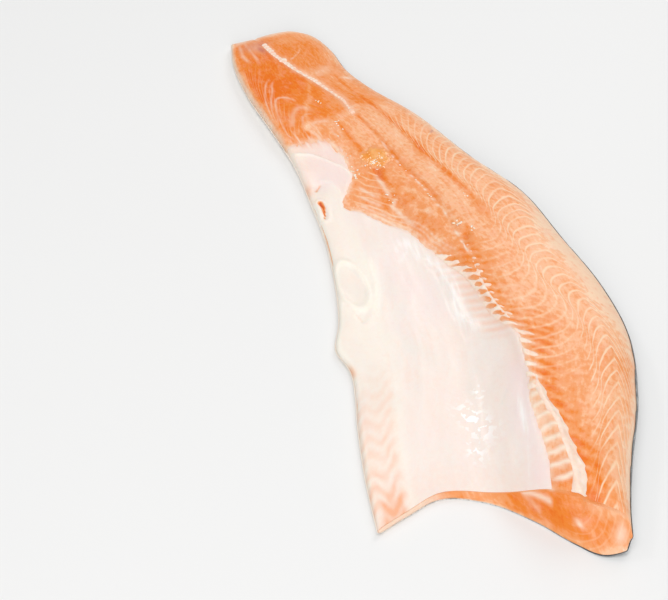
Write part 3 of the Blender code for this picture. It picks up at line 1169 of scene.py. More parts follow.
class Bench:
    """A node tree under construction, with short calls for the nodes used here."""

    def __init__(self, tree: NodeTree, effects: "Effects | None" = None) -> None:
        """Work on a node tree, with the shared effects at hand."""
        self.tree, self.effects = tree, effects

    def node(self, kind: str, **settings: object) -> Node:
        """Return a new node.

        Args:
            kind: Its type.
            settings: Values of its properties, by name.

        Returns:
            The node.
        """
        made = self.tree.nodes.new(kind)
        for name, value in settings.items():
            setattr(made, name, value)
        return made

    def feed(self, socket: NodeSocket, value: object) -> None:
        """Link a socket to another, or set its own value.

        Args:
            socket: The socket to feed.
            value: A socket, a number, a vector or a colour.
        """
        if isinstance(value, NodeSocket):
            self.tree.links.new(value, socket)
        elif isinstance(value, tuple) and len(value) == 3 and socket.type == "RGBA":
            socket.default_value = (*value, 1.0)
        else:
            socket.default_value = value

    def maths(self, kind: str, *given: object) -> NodeSocket:
        """Return the result of a Math node.

        Args:
            kind: Its operation.
            given: Its inputs, in order.

        Returns:
            Its output.
        """
        made = self.node("ShaderNodeMath", operation=kind)
        for socket, value in zip(made.inputs, (*given, 0.0, 0.0)):
            self.feed(socket, value)
        return made.outputs[0]

    def sway(self, value: object, pattern: NodeSocket, amount: object) -> NodeSocket:
        """Return a value that a pattern round 0.5 moves up and down by an amount."""
        return self.maths("MULTIPLY_ADD", self.maths("SUBTRACT", pattern, 0.5), amount, value)

    def tint(self, colour: NodeSocket, tints: dict[str, object]) -> NodeSocket:
        """Return a colour mixed towards others, in order.

        Args:
            colour: The colour to start from.
            tints: The colours, by the names of their masks.

        Returns:
            The mixed colour.
        """
        for name, tint in tints.items():
            colour = self.mix(self.mask(name), colour, tint)
        return colour

    def mask(self, name: str) -> NodeSocket:
        """Return a mask kept on the mesh."""
        return self.node("ShaderNodeAttribute", attribute_name=name).outputs["Fac"]

    def place(self, name: str) -> NodeSocket:
        """Return a vector kept on the mesh."""
        return self.node("ShaderNodeAttribute", attribute_name=name).outputs["Vector"]

    def stretch(self, vector: NodeSocket, scale: Triple) -> NodeSocket:
        """Return a vector scaled on each axis.

        Args:
            vector: The vector.
            scale: The factors.

        Returns:
            The product.
        """
        made = self.node("ShaderNodeVectorMath", operation="MULTIPLY")
        self.feed(made.inputs[0], vector)
        made.inputs[1].default_value = scale
        return made.outputs[0]

    def noise(self, vector: object, scale: object, detail: float = 2.0, rough: float = 0.5) -> NodeSocket:
        """Return the value of a Noise texture.

        Args:
            vector: Its coordinates.
            scale: Its scale.
            detail: How many finer noises are added.
            rough: How strong they are.

        Returns:
            A value from 0 to 1.
        """
        made = self.node("ShaderNodeTexNoise")
        self.feed(made.inputs["Vector"], vector)
        self.feed(made.inputs["Scale"], scale)
        made.inputs["Detail"].default_value = detail
        made.inputs["Roughness"].default_value = rough
        return made.outputs["Fac"]

    def spread(self, value: object, low: object, high: object, to_low: object = 0.0,
               to_high: object = 1.0) -> NodeSocket:
        """Return a value smoothly spread from one range to another.

        Args:
            value: The value.
            low: Where the first range starts.
            high: Where it ends.
            to_low: Where the second range starts.
            to_high: Where it ends.

        Returns:
            The new value.
        """
        made = self.node("ShaderNodeMapRange", interpolation_type="SMOOTHSTEP")
        for socket, given in zip(made.inputs[:5], (value, low, high, to_low, to_high)):
            self.feed(socket, given)
        return made.outputs[0]

    def cells(self, vector: NodeSocket, size: float, randomness: float = 1.0) -> tuple[NodeSocket, Outputs]:
        """Return how far each place is from the middle of its cell, and three chances of that cell.

        Args:
            vector: Coordinates in metres.
            size: The cells' size in metres.
            randomness: From 0 for an even net to 1.

        Returns:
            The distance, and the three chances from 0 to 1.
        """
        made = self.node("ShaderNodeTexVoronoi", feature="F1")
        self.feed(made.inputs["Vector"], vector)
        made.inputs["Scale"].default_value = 1 / size
        made.inputs["Randomness"].default_value = randomness
        parts = self.node("ShaderNodeSeparateColor")
        self.feed(parts.inputs[0], made.outputs["Color"])
        return made.outputs["Distance"], parts.outputs

    def mix(self, share: object, a: object, b: object, kind: str = "MIX") -> NodeSocket:
        """Return a mix of two colours.

        Args:
            share: The share of the second.
            a: The first colour.
            b: The second.
            kind: How they are mixed.

        Returns:
            The mixed colour.
        """
        made = self.node("ShaderNodeMix", data_type="RGBA", blend_type=kind, clamp_factor=True)
        self.feed(made.inputs[0], share)
        self.feed(made.inputs[6], a)
        self.feed(made.inputs[7], b)
        return made.outputs[2]

    def ramp(self, value: object, stops: Sequence[tuple[float, Colour]]) -> NodeSocket:
        """Return a colour read from stops.

        Args:
            value: The place asked for.
            stops: Places and their colours.

        Returns:
            The colour.
        """
        made = self.node("ShaderNodeValToRGB")
        made.color_ramp.interpolation = "EASE"
        band = made.color_ramp.elements
        for _ in stops[2:]:
            band.new(0.5)
        for element, (at, colour) in zip(band, stops):
            element.position = at
            element.color = (*colour, 1.0)
        self.feed(made.inputs[0], value)
        return made.outputs[0]

    def group(self, tree: NodeTree, **given: object) -> Node:
        """Return a placed node group.

        Args:
            tree: The group.
            given: What its inputs are fed, by name.

        Returns:
            The node.
        """
        made = self.node("ShaderNodeGroup", node_tree=tree)
        for name, value in given.items():
            self.feed(made.inputs[name.replace("_", " ")], value)
        return made


Group = tuple[Bench, Outputs, bpy.types.NodeInputs]
Paint = tuple[NodeSocket, NodeSocket]


@dataclass(frozen=True)
class Effects:
    """Node groups that several finishes share."""

    septum_lines: NodeTree
    fibre_grain: NodeTree
    wet_film: NodeTree

    @staticmethod
    def new_group(name: str, inputs: dict[str, float | None], outputs: Sequence[str]) -> Group:
        """Return an empty group with named sockets.

        Args:
            name: The group's name.
            inputs: The first value of each input by name, or None for a vector.
            outputs: The names of the outputs, all of them values.

        Returns:
            The group's bench, the sockets that it is given, and the sockets to feed.
        """
        tree = bpy.data.node_groups.new(name, "ShaderNodeTree")
        for label, first in inputs.items():
            kind = "NodeSocketVector" if first is None else "NodeSocketFloat"
            socket = tree.interface.new_socket(label, in_out="INPUT", socket_type=kind)
            if first is not None:
                socket.default_value = first
        for label in outputs:
            tree.interface.new_socket(label, in_out="OUTPUT", socket_type="NodeSocketFloat")
        bench = Bench(tree)
        return bench, bench.node("NodeGroupInput").outputs, bench.node("NodeGroupOutput").inputs

    @classmethod
    def build(cls) -> "Effects":
        """Return the shared effects, each built once."""
        return cls(cls.build_lines(), cls.build_grain(), cls.build_film())

    @classmethod
    def build_lines(cls) -> NodeTree:
        """Return lines where a count passes whole numbers.

        Returns:
            The node group.
        """
        bench, given, out = cls.new_group(
            "Septum lines", {"Phase": 0.0, "Strength": 1.0, "Width": 0.1}, ["Mask"])
        part = bench.maths("FRACT", bench.maths("ADD", given["Phase"], 0.5))
        gap = bench.maths("ABSOLUTE", bench.maths("SUBTRACT", part, 0.5))
        line = bench.spread(gap, given["Width"], 0.0)
        bench.feed(out["Mask"], bench.maths("MULTIPLY", line, given["Strength"]))
        return bench.tree

    @classmethod
    def build_grain(cls) -> NodeTree:
        """Return the grain of muscle fibres, long one way and fine the other.

        Returns:
            The node group.
        """
        bench, given, out = cls.new_group(
            "Fibre grain", {"Place": None, "Along": 120.0, "Across": 500.0}, ["Grain", "Mottle"])
        parts = bench.node("ShaderNodeSeparateXYZ")
        bench.feed(parts.inputs[0], given["Place"])
        drift = bench.noise(given["Place"], 60.0, 2.0)
        joined = bench.node("ShaderNodeCombineXYZ")
        bench.feed(joined.inputs[0], bench.maths("MULTIPLY", parts.outputs[0], given["Along"]))
        across = bench.maths("MULTIPLY", parts.outputs[1], given["Across"])
        bench.feed(joined.inputs[1], bench.maths("MULTIPLY_ADD", drift, 2.2, across))
        bench.feed(out["Grain"], bench.noise(joined.outputs[0], 1.0, 3.0, 0.6))
        bench.feed(out["Mottle"], bench.noise(given["Place"], 260.0, 3.0, 0.62))
        return bench.tree

    @classmethod
    def build_film(cls) -> NodeTree:
        """Return the unevenness of a wet surface: its roughness and its height.

        Returns:
            The node group.
        """
        bench, given, out = cls.new_group(
            "Wet film", {"Place": None, "Roughness": 0.4, "Spread": 0.2, "Scale": 220.0},
            ["Roughness", "Height"])
        pools = bench.noise(given["Place"], given["Scale"], 3.0, 0.55)
        rough = bench.sway(given["Roughness"], pools, given["Spread"])
        bench.feed(out["Roughness"], bench.maths("MAXIMUM", rough, 0.08))
        fine = bench.noise(given["Place"], bench.maths("MULTIPLY", given["Scale"], 3.0), 2.0)
        bench.feed(out["Height"], bench.maths("MULTIPLY_ADD", fine, 0.35, pools))
        return bench.tree


@dataclass(frozen=True)
class Finish:
    """A wet surface: what all the finishes share."""

    name: str
    roughness: float
    spread: float
    coat: float
    coat_roughness: float
    specular: float
    under_light: float
    bump: float
    film_scale: float = 220.0
    grain: Point = (420.0, 420.0)

    def build(self, effects: Effects) -> Material:
        """Return the finish as a material.

        Args:
            effects: The shared effects.

        Returns:
            The new material.
        """
        material = bpy.data.materials.new(self.name)
        material.use_nodes = True
        bench = Bench(material.node_tree, effects)
        shader = material.node_tree.nodes["Principled BSDF"].inputs
        for name, value in {
                "Metallic": 0.0, "Coat Weight": self.coat, "Coat Roughness": self.coat_roughness,
                "Specular IOR Level": self.specular, "Subsurface Weight": self.under_light,
                "Subsurface Radius": (1.0, 0.45, 0.25), "Subsurface Scale": 0.0022}.items():
            shader[name].default_value = value
        place = bench.place("spot")
        grain = bench.group(effects.fibre_grain, Place=place, Along=self.grain[0], Across=self.grain[1])
        colour, height = self.paint(bench, place, grain.outputs)
        film = bench.group(effects.wet_film, Place=place, Roughness=self.roughness, Spread=self.spread,
                           Scale=self.film_scale).outputs
        bench.feed(shader["Base Color"], colour)
        bench.feed(shader["Roughness"], film["Roughness"])
        bumped = bench.node("ShaderNodeBump")
        bumped.inputs["Strength"].default_value = self.bump
        bumped.inputs["Distance"].default_value = 0.0004
        bench.feed(bumped.inputs["Height"], bench.maths("ADD", height, film["Height"]))
        bench.feed(shader["Normal"], bumped.outputs[0])
        return material

    def paint(self, bench: Bench, place: NodeSocket, grain: Outputs) -> Paint:
        """Return the surface's colour, and its fine height from about 0 to 1.

        Args:
            bench: The material's bench.
            place: Coordinates in metres.
            grain: The outputs of the fibre grain.

        Returns:
            The colour and the height.
        """
        raise NotImplementedError


@dataclass(frozen=True)
class FleshFinish(Finish):
    """Orange flesh with cream lines, paler and deeper by its masks."""

    grain: Point = (95.0, 520.0)
    tones: tuple[tuple[float, Colour], ...] = (
        (0.0, (0.95, 0.67, 0.47)), (0.25, (0.92, 0.485, 0.27)), (0.5, (0.865, 0.325, 0.112)),
        (0.75, (0.835, 0.225, 0.022)), (1.0, (0.815, 0.165, 0.004)))
    line: Colour = (0.95, 0.66, 0.44)
    cream: Colour = (0.93, 0.78, 0.64)
    blood: Colour = (0.45, 0.085, 0.08)
    flush: Colour = (0.92, 0.45, 0.28)

    def paint(self, bench: Bench, place: NodeSocket, grain: Outputs) -> Paint:
        """Return the colour and the fine height, with the lines sunk.

        Args:
            bench: The material's bench.
            place: Coordinates in metres.
            grain: The outputs of the fibre grain.

        Returns:
            The colour and the height.
        """
        tone = bench.sway(bench.mask("ripeness"), grain["Grain"], 0.36)
        colour = bench.ramp(bench.sway(tone, grain["Mottle"], 0.8), self.tones)
        flush = bench.spread(bench.noise(place, 80.0, 5.0, 0.75), 0.46, 0.66, 0.0, 0.36)
        colour = bench.mix(flush, colour, self.flush)
        lines = bench.group(bench.effects.septum_lines, Phase=bench.mask("septum_phase"),
                            Strength=bench.mask("septum_strength"), Width=0.2).outputs["Mask"]
        colour = bench.tint(bench.mix(lines, colour, self.line), {"cream": self.cream, "blood": self.blood})
        return colour, bench.maths("MULTIPLY_ADD", lines, -0.8, grain["Grain"])


@dataclass(frozen=True)
class LiningFinish(Finish):
    """Milky belly lining over pink flesh."""

    grain: Point = (45.0, 170.0)
    milk: Colour = (0.90, 0.813, 0.756)
    blush: Colour = (0.93, 0.70, 0.60)
    cream: Colour = (0.935, 0.865, 0.765)
    # Grey, used for grey tints and for painted shade.
    grey: Colour = (0.82, 0.77, 0.71)
    salmon: Colour = (0.91, 0.45, 0.27)
    ember: Colour = (0.86, 0.30, 0.07)
    hole: Colour = (0.62, 0.09, 0.01)
    # White of the fold's strands, and of the painted glints.
    pearl: Colour = (0.99, 0.97, 0.95)
    strand: Colour = (0.90, 0.82, 0.765)
    lilac: Colour = (0.90, 0.72, 0.735)

    def paint(self, bench: Bench, place: NodeSocket, grain: Outputs) -> Paint:
        """Return the colour and the fine height.

        Args:
            bench: The material's bench.
            place: Coordinates in metres.
            grain: The outputs of the fibre grain.

        Returns:
            The colour and the height.
        """
        colour = bench.mix(bench.sway(bench.mask("blush"), grain["Grain"], 0.5), self.milk, self.blush)
        colour = bench.tint(colour, {"cream": self.cream, "grey": self.grey})
        colour = bench.mix(bench.sway(bench.mask("salmon"), grain["Mottle"], 0.3), colour, self.salmon)
        opening = bench.mix(bench.spread(bench.mask("ember"), 0.7, 1.0), self.ember, self.hole)
        colour = bench.mix(bench.spread(bench.mask("ember"), 0.0, 0.7), colour, opening)
        strands = bench.spread(bench.noise(bench.stretch(place, (50.0, 420.0, 1.0)), 1.0, 3.0), 0.36, 0.64)
        fold = bench.mix(strands, self.strand, self.pearl)
        colour = bench.tint(colour, {"lilac": self.lilac, "fold": fold})
        # White flecks where the glint mask is high are painted highlights on the wet lining.
        painted_glints = bench.spread(bench.noise(place, 190.0, 4.0), 0.52, 0.55)
        colour = bench.mix(bench.maths("MULTIPLY", bench.mask("pearl"), painted_glints), colour, self.pearl)
        return colour, grain["Grain"]


@dataclass(frozen=True)
class TissueFinish(Finish):
    """Cream connective tissue: rib ends, septum and fat."""

    light: Colour = (0.96, 0.81, 0.69)
    dark: Colour = (0.92, 0.53, 0.37)
    warm: Colour = (0.90, 0.42, 0.16)

    def paint(self, bench: Bench, place: NodeSocket, grain: Outputs) -> Paint:
        """Return the colour and the fine height."""
        colour = bench.mix(bench.sway(bench.mask("shade"), grain["Grain"], 0.7), self.light, self.dark)
        return bench.tint(colour, {"warmth": self.warm}), grain["Mottle"]


@dataclass(frozen=True)
class SkinFinish(Finish):
    """Scaled skin: dark back with spots, silver flank, white belly."""

    grain: Point = (200.0, 200.0)
    bands: tuple[tuple[float, Colour], ...] = (
        (0.03, (0.99, 0.88, 0.77)), (0.14, (0.93, 0.88, 0.82)), (0.34, (0.93, 0.88, 0.82)),
        (0.50, (0.74, 0.74, 0.72)), (0.64, (0.42, 0.44, 0.43)), (0.84, (0.045, 0.055, 0.065)))
    scale_rim: Colour = (0.24, 0.25, 0.25)
    # The colour of the painted glints on the scales.
    painted_scale_glint: Colour = (0.60, 0.63, 0.63)
    spot: Colour = (0.012, 0.013, 0.016)
    line: Colour = (0.09, 0.10, 0.10)
    scale_size: float = 0.0028
    spot_size: float = 1 / 150

    def paint(self, bench: Bench, place: NodeSocket, grain: Outputs) -> Paint:
        """Return the colour and the fine height of the scales.

        Args:
            bench: The material's bench.
            place: Coordinates in metres.
            grain: The outputs of the fibre grain.

        Returns:
            The colour and the height.
        """
        height = bench.mask("flank_height")
        drift = bench.sway(height, grain["Mottle"], 0.10)
        colour = bench.ramp(drift, self.bands)
        scale, glint = bench.cells(bench.stretch(place, (0.8, 1.0, 1.0)), self.scale_size, 0.35)
        rim = bench.maths("MULTIPLY", bench.spread(scale, 0.32, 0.62),
                          bench.spread(height, 0.03, 0.2, 0.0, 0.45))
        colour = bench.mix(rim, colour, self.scale_rim, "MULTIPLY")
        # Scales picked by chance are lightened: painted glints.
        painted_scale_glint = bench.maths("MULTIPLY", bench.spread(glint[0], 0.55, 1.0),
                            bench.spread(drift, 0.25, 0.6, 0.12, 0.4))
        colour = bench.mix(painted_scale_glint, colour, self.painted_scale_glint)
        spot, chance = bench.cells(bench.stretch(place, (0.55, 1.0, 1.0)), self.spot_size)
        sparse = bench.maths("GREATER_THAN", bench.maths("ADD", chance[1], bench.mask("spottiness")), 1.0)
        speck = bench.maths("MULTIPLY", bench.spread(spot, 0.34, 0.24), sparse)
        colour = bench.mix(speck, colour, self.spot)
        colour = bench.mix(bench.maths("MULTIPLY", bench.mask("lateral"), 0.6), colour, self.line)
        return colour, bench.maths("MULTIPLY", bench.spread(scale, 0.7, 0.0), 1.6)


# ---------------------------------------------------------------- pieces


def eased(count: int, ease: float) -> Array:
    """Return shares from 0 to 1, closer together towards both ends by an ease of 0 to 1."""
    t = np.linspace(0, 1, count)
    return (1 - ease) * t + ease * (0.5 - 0.5 * np.cos(np.pi * t))


def tail_first(turn: float, first: int, rest: int) -> Array:
    """Return rows' shares, with the first few closer together round the tail's edge."""
    tail = turn * (1 - np.cos(0.5 * np.pi * np.arange(first) / first))
    return np.concatenate([tail, np.linspace(turn, 1, rest)])


def beside(*parts: Array) -> Array:
    """Return the values of several parts in one row."""
    return np.concatenate([part.reshape(-1) for part in parts])


def raised(inside: Array, tall: float, rise: Point, sink: Point, deep: float = 0.5) -> Array:
    """Return the height of a layer from how far each place is inside it.

    Args:
        inside: The distance inside, in millimetres.
        tall: The height that the layer rises to.
        rise: Where its slope starts and ends.
        sink: Where it starts to sink into the flesh, and where it is gone.
        deep: How deep it sinks.

    Returns:
        The height in millimetres.
    """
    return tall * step(*rise, inside) - deep * step(*sink, inside)


def spots_on_map(rows: Array, columns: Array, low: Point, high: Point) -> Array:
    """Return places on the flat map for a grid.

    Args:
        rows: Shares along, one for each row.
        columns: Shares across, one for each column.
        low: The map's corner for share 0.
        high: The map's corner for share 1.

    Returns:
        A grid of places on the flat map.
    """
    a = low[0] + (high[0] - low[0]) * rows[:, None] + 0 * columns[None, :]
    b = low[1] + (high[1] - low[1]) * columns[None, :] + 0 * rows[:, None]
    return np.stack([a, b], axis=-1)


def body_spots(canvas: Canvas, depth: float | Array = 0.0) -> Array:
    """Return coordinates that follow the body, for the finishes' patterns.

    Args:
        canvas: The places asked for.
        depth: The third coordinate.

    Returns:
        One row of x, y and z for each place, in metres.
    """
    along = canvas.u * canvas.form.body_length * MM
    across = canvas.v * WIDTH * MM
    return np.stack([along, across, np.zeros_like(along) + depth], axis=-1).reshape(-1, 3)


@dataclass
class Piece:
    """One piece of the fillet: what all of them share."""

    form: FleshForm
    material: Material
    name: str
    slot: Slot

    def gather(self) -> tuple[Shell, dict[str, Array]]:
        """Return the piece's points and faces, and its masks by name."""
        raise NotImplementedError

    def build(self) -> Object:
        """Make the piece, dress it and fix it to the fillet's body.

        Returns:
            The piece.
        """
        shell, masks = self.gather()
        piece = shell.make(self.name, masks)
        piece.data.materials.append(self.material)
        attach(piece, BODY)
        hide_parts(NODE)
        return piece


@dataclass
class Flesh(Piece):
    """The flesh: one closed body from the tail to the head cut."""

    name: str = "flesh"
    slot: Slot = Slot.FLESH
    rows: int = 462
    tail_rows: int = 6
    columns: int = 156
    under_columns: int = 12
    cut_rows: int = 14

    tone_marks: tuple[Mark, ...] = (
        Area(0.43), Area(-0.13, (0.27, 0.5, 0.1), Near(0.63, 0.07)),
        Area(-0.1, (0.3, 0.62, 0.1), Near(0.8, 0.1)), Area(-0.3, (0.2, 0.35), (0.84, 0.99)),
        Area(0.18, (0.72, 0.8), (0.84, 0.99)), Area(-0.12, (0.58, 0.7, 0.08), (0.86, 0.92)),
        Area(-0.08, (0.5, 0.62)), Area(-0.1, (0.8, 0.9), (0.66, 0.72)),
        Area(-0.1, (0.27, 0.36, 0.02), (0.42, 0.56, 0.03)),
        Area(0.22, (0.262, 0.3, 0.012), (0.02, 0.06, 0.14, 0.24)),
        Area(0.14, (0.13, 0.235, 0.03), (0.05, 0.27, 0.05)), Area(-0.4, (0.035, 0.008)),
        Area(-0.14, (0.07, 0.03), (0.5, 0.6)), Area(-0.3, (), (0.03, 0.0)),
        Area(0.12, (0.82, 0.9), (0.7, 0.86, 0.06)), Area(0.1, (0.76, 0.84), (0.87, 0.96, 0.02)),
        Area(0.12, (0.95, 1.0)), Area(0.06, (0.405, 0.5, 0.02), (0.12, 0.38, 0.03)),
        Area(0.05, (0.46, 0.6, 0.03), (0.32, 0.46, 0.04), uneven=(6.0, 6.0, 69)),
        Spot(0.25, (0.385, 0.7), (13.0, 5.0), -12), Spot(0.2, (0.455, 0.675), (9.0, 4.0)),
        Spot(0.2, (0.54, 0.69), (9.0, 4.0)), Spot(0.45, (0.412, 0.392), (9.0, 5.5), -15),
        Spot(0.4, (0.592, 0.553), (6.0, 3.0), -25))
    back_marks: tuple[Mark, ...] = (
        Area(0.27, (0.15, 0.118)), Area(-0.3, (0.15, 0.118), (0.76, 0.95)),
        Area(0.16, (0.158, 0.246, 0.006), (0.74, 0.7)), Area(0.08, (0.158, 0.246, 0.02), (0.9, 0.84)))
    tail_lines: tuple[Mark, ...] = (
        Line(0.5, ((0.26, 0.01), (0.233, 0.066), (0.21, 0.105), (0.19, 0.154), (0.189, 0.208),
             (0.2, 0.258), (0.218, 0.275)), 0.9, 0.25),
        Line(0.4, ((0.129, 0.26), (0.144, 0.178), (0.167, 0.113), (0.192, 0.066), (0.224, 0.034),
             (0.253, 0.022)), 0.7, 0.25),
        Line(0.45, ((0.137, 0.28), (0.15, 0.22), (0.167, 0.18), (0.195, 0.099), (0.225, 0.051),
             (0.25, 0.038)), 0.7, 0.25),
        Line(0.4, ((0.213, 0.126), (0.235, 0.077), (0.256, 0.061), (0.277, 0.057), (0.293, 0.085)), 0.7,
             0.25),
        Line(0.34, ((0.268, 0.09), (0.254, 0.13), (0.237, 0.176), (0.227, 0.231), (0.234, 0.29),
             (0.255, 0.33)), 2.4, 0.25),
        Line(0.3, ((0.285, 0.19), (0.273, 0.24), (0.271, 0.288), (0.277, 0.335), (0.294, 0.36),
             (0.318, 0.345)), 1.8, 0.25),
        Line(0.35, ((0.276, 0.17), (0.252, 0.215), (0.246, 0.26), (0.252, 0.3)), 1.0, 0.25),
        Line(0.45, ((0.012, 0.1), (0.029, 0.11), (0.057, 0.119), (0.083, 0.167)), 1.8, 0.25),
        Line(0.45, ((0.01, 0.19), (0.026, 0.193), (0.053, 0.218), (0.094, 0.246)), 1.6, 0.25))
    tail_rim: tuple[Mark, ...] = (
        Area(0.75, (0.026, 0.006)), Area(0.7, (0.3, 0.27), (0.022, 0.0)))
    tail_dots: Line = Line(0.5, ((0.07, 0.72), (0.085, 0.64), (0.1, 0.52)), 0.8, 0.1)
    tail_band: Line = Line(0.18, ((0.132, 0.93), (0.138, 0.8), (0.146, 0.68), (0.15, 0.62)), 6.0, 0.3,
                           uneven=(0.8 / 0.9, 7.0, 78))
    blood_marks: tuple[Mark, ...] = (
        Spot(0.62, (0.05, 0.325), (6.0, 3.0), 15), Spot(0.5, (0.036, 0.37), (2.5, 6.0)),
        Spot(0.35, (0.026, 0.39), (2.6, 3.0)), Spot(0.24, (0.032, 0.28), (7.0, 14.0)),
        Line(0.75, ((0.334, 0.93), (0.338, 0.917), (0.342, 0.9)), 0.8),
        Spot(0.1, (0.593, 0.549), (4.0, 1.6), -25), Spot(0.1, (0.413, 0.392), (5.0, 2.5), -15))

    def ripeness(self, canvas: Canvas) -> Array:
        """Return how deep the orange is, with its unevenness.

        Args:
            canvas: The places asked for.

        Returns:
            The tone, from 0 at its palest to 1.
        """
        u, v = canvas.u, canvas.v
        back_side = step(-0.012, 0.012, v - self.form.spine_line.at(u))
        tone = add_up(self.tone_marks, canvas) + back_side * add_up(self.back_marks, canvas)
        tone = tone - 0.14 * step(0.9 + 0.06 * step(0.72, 0.8, u), 0.985, v)
        tone = tone + (1 - back_side) * self.tail_belly(canvas)
        tone = tone + 0.48 * self.form.streaks(canvas) + self.beside_ribs(canvas)
        blotch = canvas.rough(17.0, 62) * 0.13 + canvas.grained(6.0, 3.0, 63) * 0.06
        blotch = blotch + canvas.rough(2.8, 70) * 0.05
        fringe = bump(canvas.inside_lining() + 6, 7.0) * window(0.25, 0.315, 0.01, u)
        tone = tone + fringe * (0.1 + 0.25 * canvas.grained(14.0, 3.6, 68))
        return np.clip(tone + blotch, 0, 1)

    def tail_belly(self, canvas: Canvas) -> Array:
        """Return the deeper tone of the tail's belly side, with its paler seam.

        Args:
            canvas: The places asked for.

        Returns:
            What it adds to the tone.
        """
        u, v = canvas.u, canvas.v
        limit = 0.265 + 0.006 * canvas.rough(7.0, 66)
        deep = 0.40 + 0.16 * canvas.rough(16.0, 67) - 0.12 * window(0.2, 0.3, 0.03, u)
        deep = deep * step(limit + 0.006, limit - 0.008, u) * step(0.02, 0.07, v)
        seam = 0.165 + 0.06 * step(0.55, 0.3, v) + 0.05 * step(0.32, 0.18, v)
        return deep - 0.34 * bump(u - seam, 0.008) * window(0.2, 0.52, 0.05, v)

    def beside_ribs(self, canvas: Canvas) -> Array:
        """Return the deep gaps between the rib ends, and the tone round the ridge.

        Args:
            canvas: The places asked for.

        Returns:
            What it adds to the tone.
        """
        u, v = canvas.u, canvas.v
        line, ridge = MARKS.pin_line.at(u), MARKS.ridge_at(u)
        gaps = self.form.ribs.from_rib(canvas)
        near = window(0.62, 0.78, 0.03, u) * window(-0.09, 0.035, 0.02, v - line)
        tone = near * (0.02 + 0.34 * gaps * (0.85 + 0.6 * canvas.rough(5.0, 64)))
        grain = canvas.grained(26.0, 2.6, 65)
        tone = tone + 0.12 * grain * window(0.5, 0.84, 0.1, u) * window(0.0, 0.13, 0.05, v - line)
        above = step(0.68, 0.79, u) * bump(v - np.maximum(line, ridge) - 0.035, 0.055)
        tone = tone + above * (0.06 + 0.55 * gaps) * (0.85 + 0.8 * canvas.rough(9.0, 61))
        foot = step(0.004, -0.004, v - ridge) * window(0.865, 0.99, 0.01, u)
        return tone - (0.18 - 0.36 * step(0.93, 0.99, u)) * foot

    def cream(self, canvas: Canvas) -> Array:
        """Return where fat and thin tissue whiten the flesh.

        Args:
            canvas: The places asked for.

        Returns:
            The share of cream, from 0 to 1.
        """
        u, v = canvas.u, canvas.v
        inside = canvas.inside_lining()
        line = MARKS.pin_line.at(u) + 0.004 * canvas.rough(9.0, 72)
        pins = np.maximum.reduce([bump(u - at, half) for at, half in MARKS.dashes]) * bump(v - line, 0.0055)
        threads = np.maximum.reduce([canvas.stroke(path, 1.5, 0.3) for path in MARKS.grooves])
        hems = inside + 0.7 * canvas.rough(9.0, 79)
        hems = teeth(hems / 3.1, 0.2) * window(-10.0, -1.5, 1.5, hems) * window(0.475, 0.6, 0.02, u)
        ribs = (1 - self.form.ribs.from_rib(canvas)) ** 2
        feather = window(0.76, 0.87, 0.02, u) * window(0, 0.03, 0.03, v - MARKS.lining_top.at(u))
        stripes = (0.17 + 0.3 * canvas.rough(5.0, 77)) * window(0.868, 0.985, 0.01, u)
        stripes = stripes * step(0.004, -0.004, v - MARKS.ridge_at(u))
        net = step(-0.1, 0.5, canvas.grained(15.0, 3.0, 74)) * step(-19.0, -2.0, inside)
        net = net * window(0.255, 0.315, 0.01, u) * step(0.02, 0.06, v)
        found = [0.75 * bump(inside, 2.2) * (0.55 + 0.6 * canvas.rough(4.0, 71)), 0.85 * pins,
                 threads * (0.58 + 0.35 * canvas.rough(5.0, 76)), 0.4 * hems, 0.5 * ribs * feather, stripes,
                 0.95 * self.form.rib_bars(canvas), 0.45 * canvas.stroke(MARKS.tail_septum, 3.2, 0.05),
                 0.6 * canvas.blob((0.168, 0.885), (5.0, 2.0), 60), 0.55 * net, self.tail_cream(canvas)]
        return np.clip(np.maximum.reduce(found), 0, 1)

    def tail_cream(self, canvas: Canvas) -> Array:
        """Return the cream of the tail: its rim, its fine arched lines, a dotted line and a band.

        Args:
            canvas: The places asked for.

        Returns:
            The share of cream.
        """
        rim = add_up(self.tail_rim, canvas) * (0.75 + 0.6 * canvas.rough(6.0, 73))
        arches = strongest(self.tail_lines, canvas) * (0.85 + 0.5 * canvas.rough(5.0, 80))
        dots = self.tail_dots.on(canvas) * step(-0.1, 0.5, canvas.rough(2.4, 75))
        band = self.tail_band.on(canvas) + 0.35 * canvas.blob((0.04, 0.3), (9.0, 9.0))
        return np.maximum.reduce([rim, arches, dots, band])

    def blood(self, canvas: Canvas) -> Array:
        """Return where blood darkens the flesh."""
        return np.clip(strongest(self.blood_marks, canvas), 0, 1)

    def gather(self) -> tuple[Shell, dict[str, Array]]:
        """Return the piece's points and faces, and its masks by name.

        Returns:
            The shell, and one value a point for each mask.
        """
        shell = Shell()
        rows = tail_first(self.form.tail_round, self.tail_rows, self.rows)
        columns, thin = eased(self.columns, 0.5), eased(self.under_columns + 2, 0.5)
        canvas = Canvas(self.form, rows[:, None], columns[None, :])
        top_points = self.form.point(canvas.u, canvas.v)
        top = shell.add_points(top_points)
        shell.add_grid(top, spots_on_map(rows, columns, (MAP_LOW, 0.24), (MAP_HIGH, MAP_HIGH)))

        below = Canvas(self.form, rows[:-1, None], thin[None, 1:-1])
        inner = shell.add_points(self.form.under(below.u, below.v))
        under = np.concatenate([top[:-1, :1], inner, top[:-1, -1:]], axis=1)
        under_map = spots_on_map(rows[:-1], thin, (MAP_LOW, MAP_LOW), (MAP_HIGH, 0.11))
        shell.add_grid(under[:, ::-1], under_map[:, ::-1])

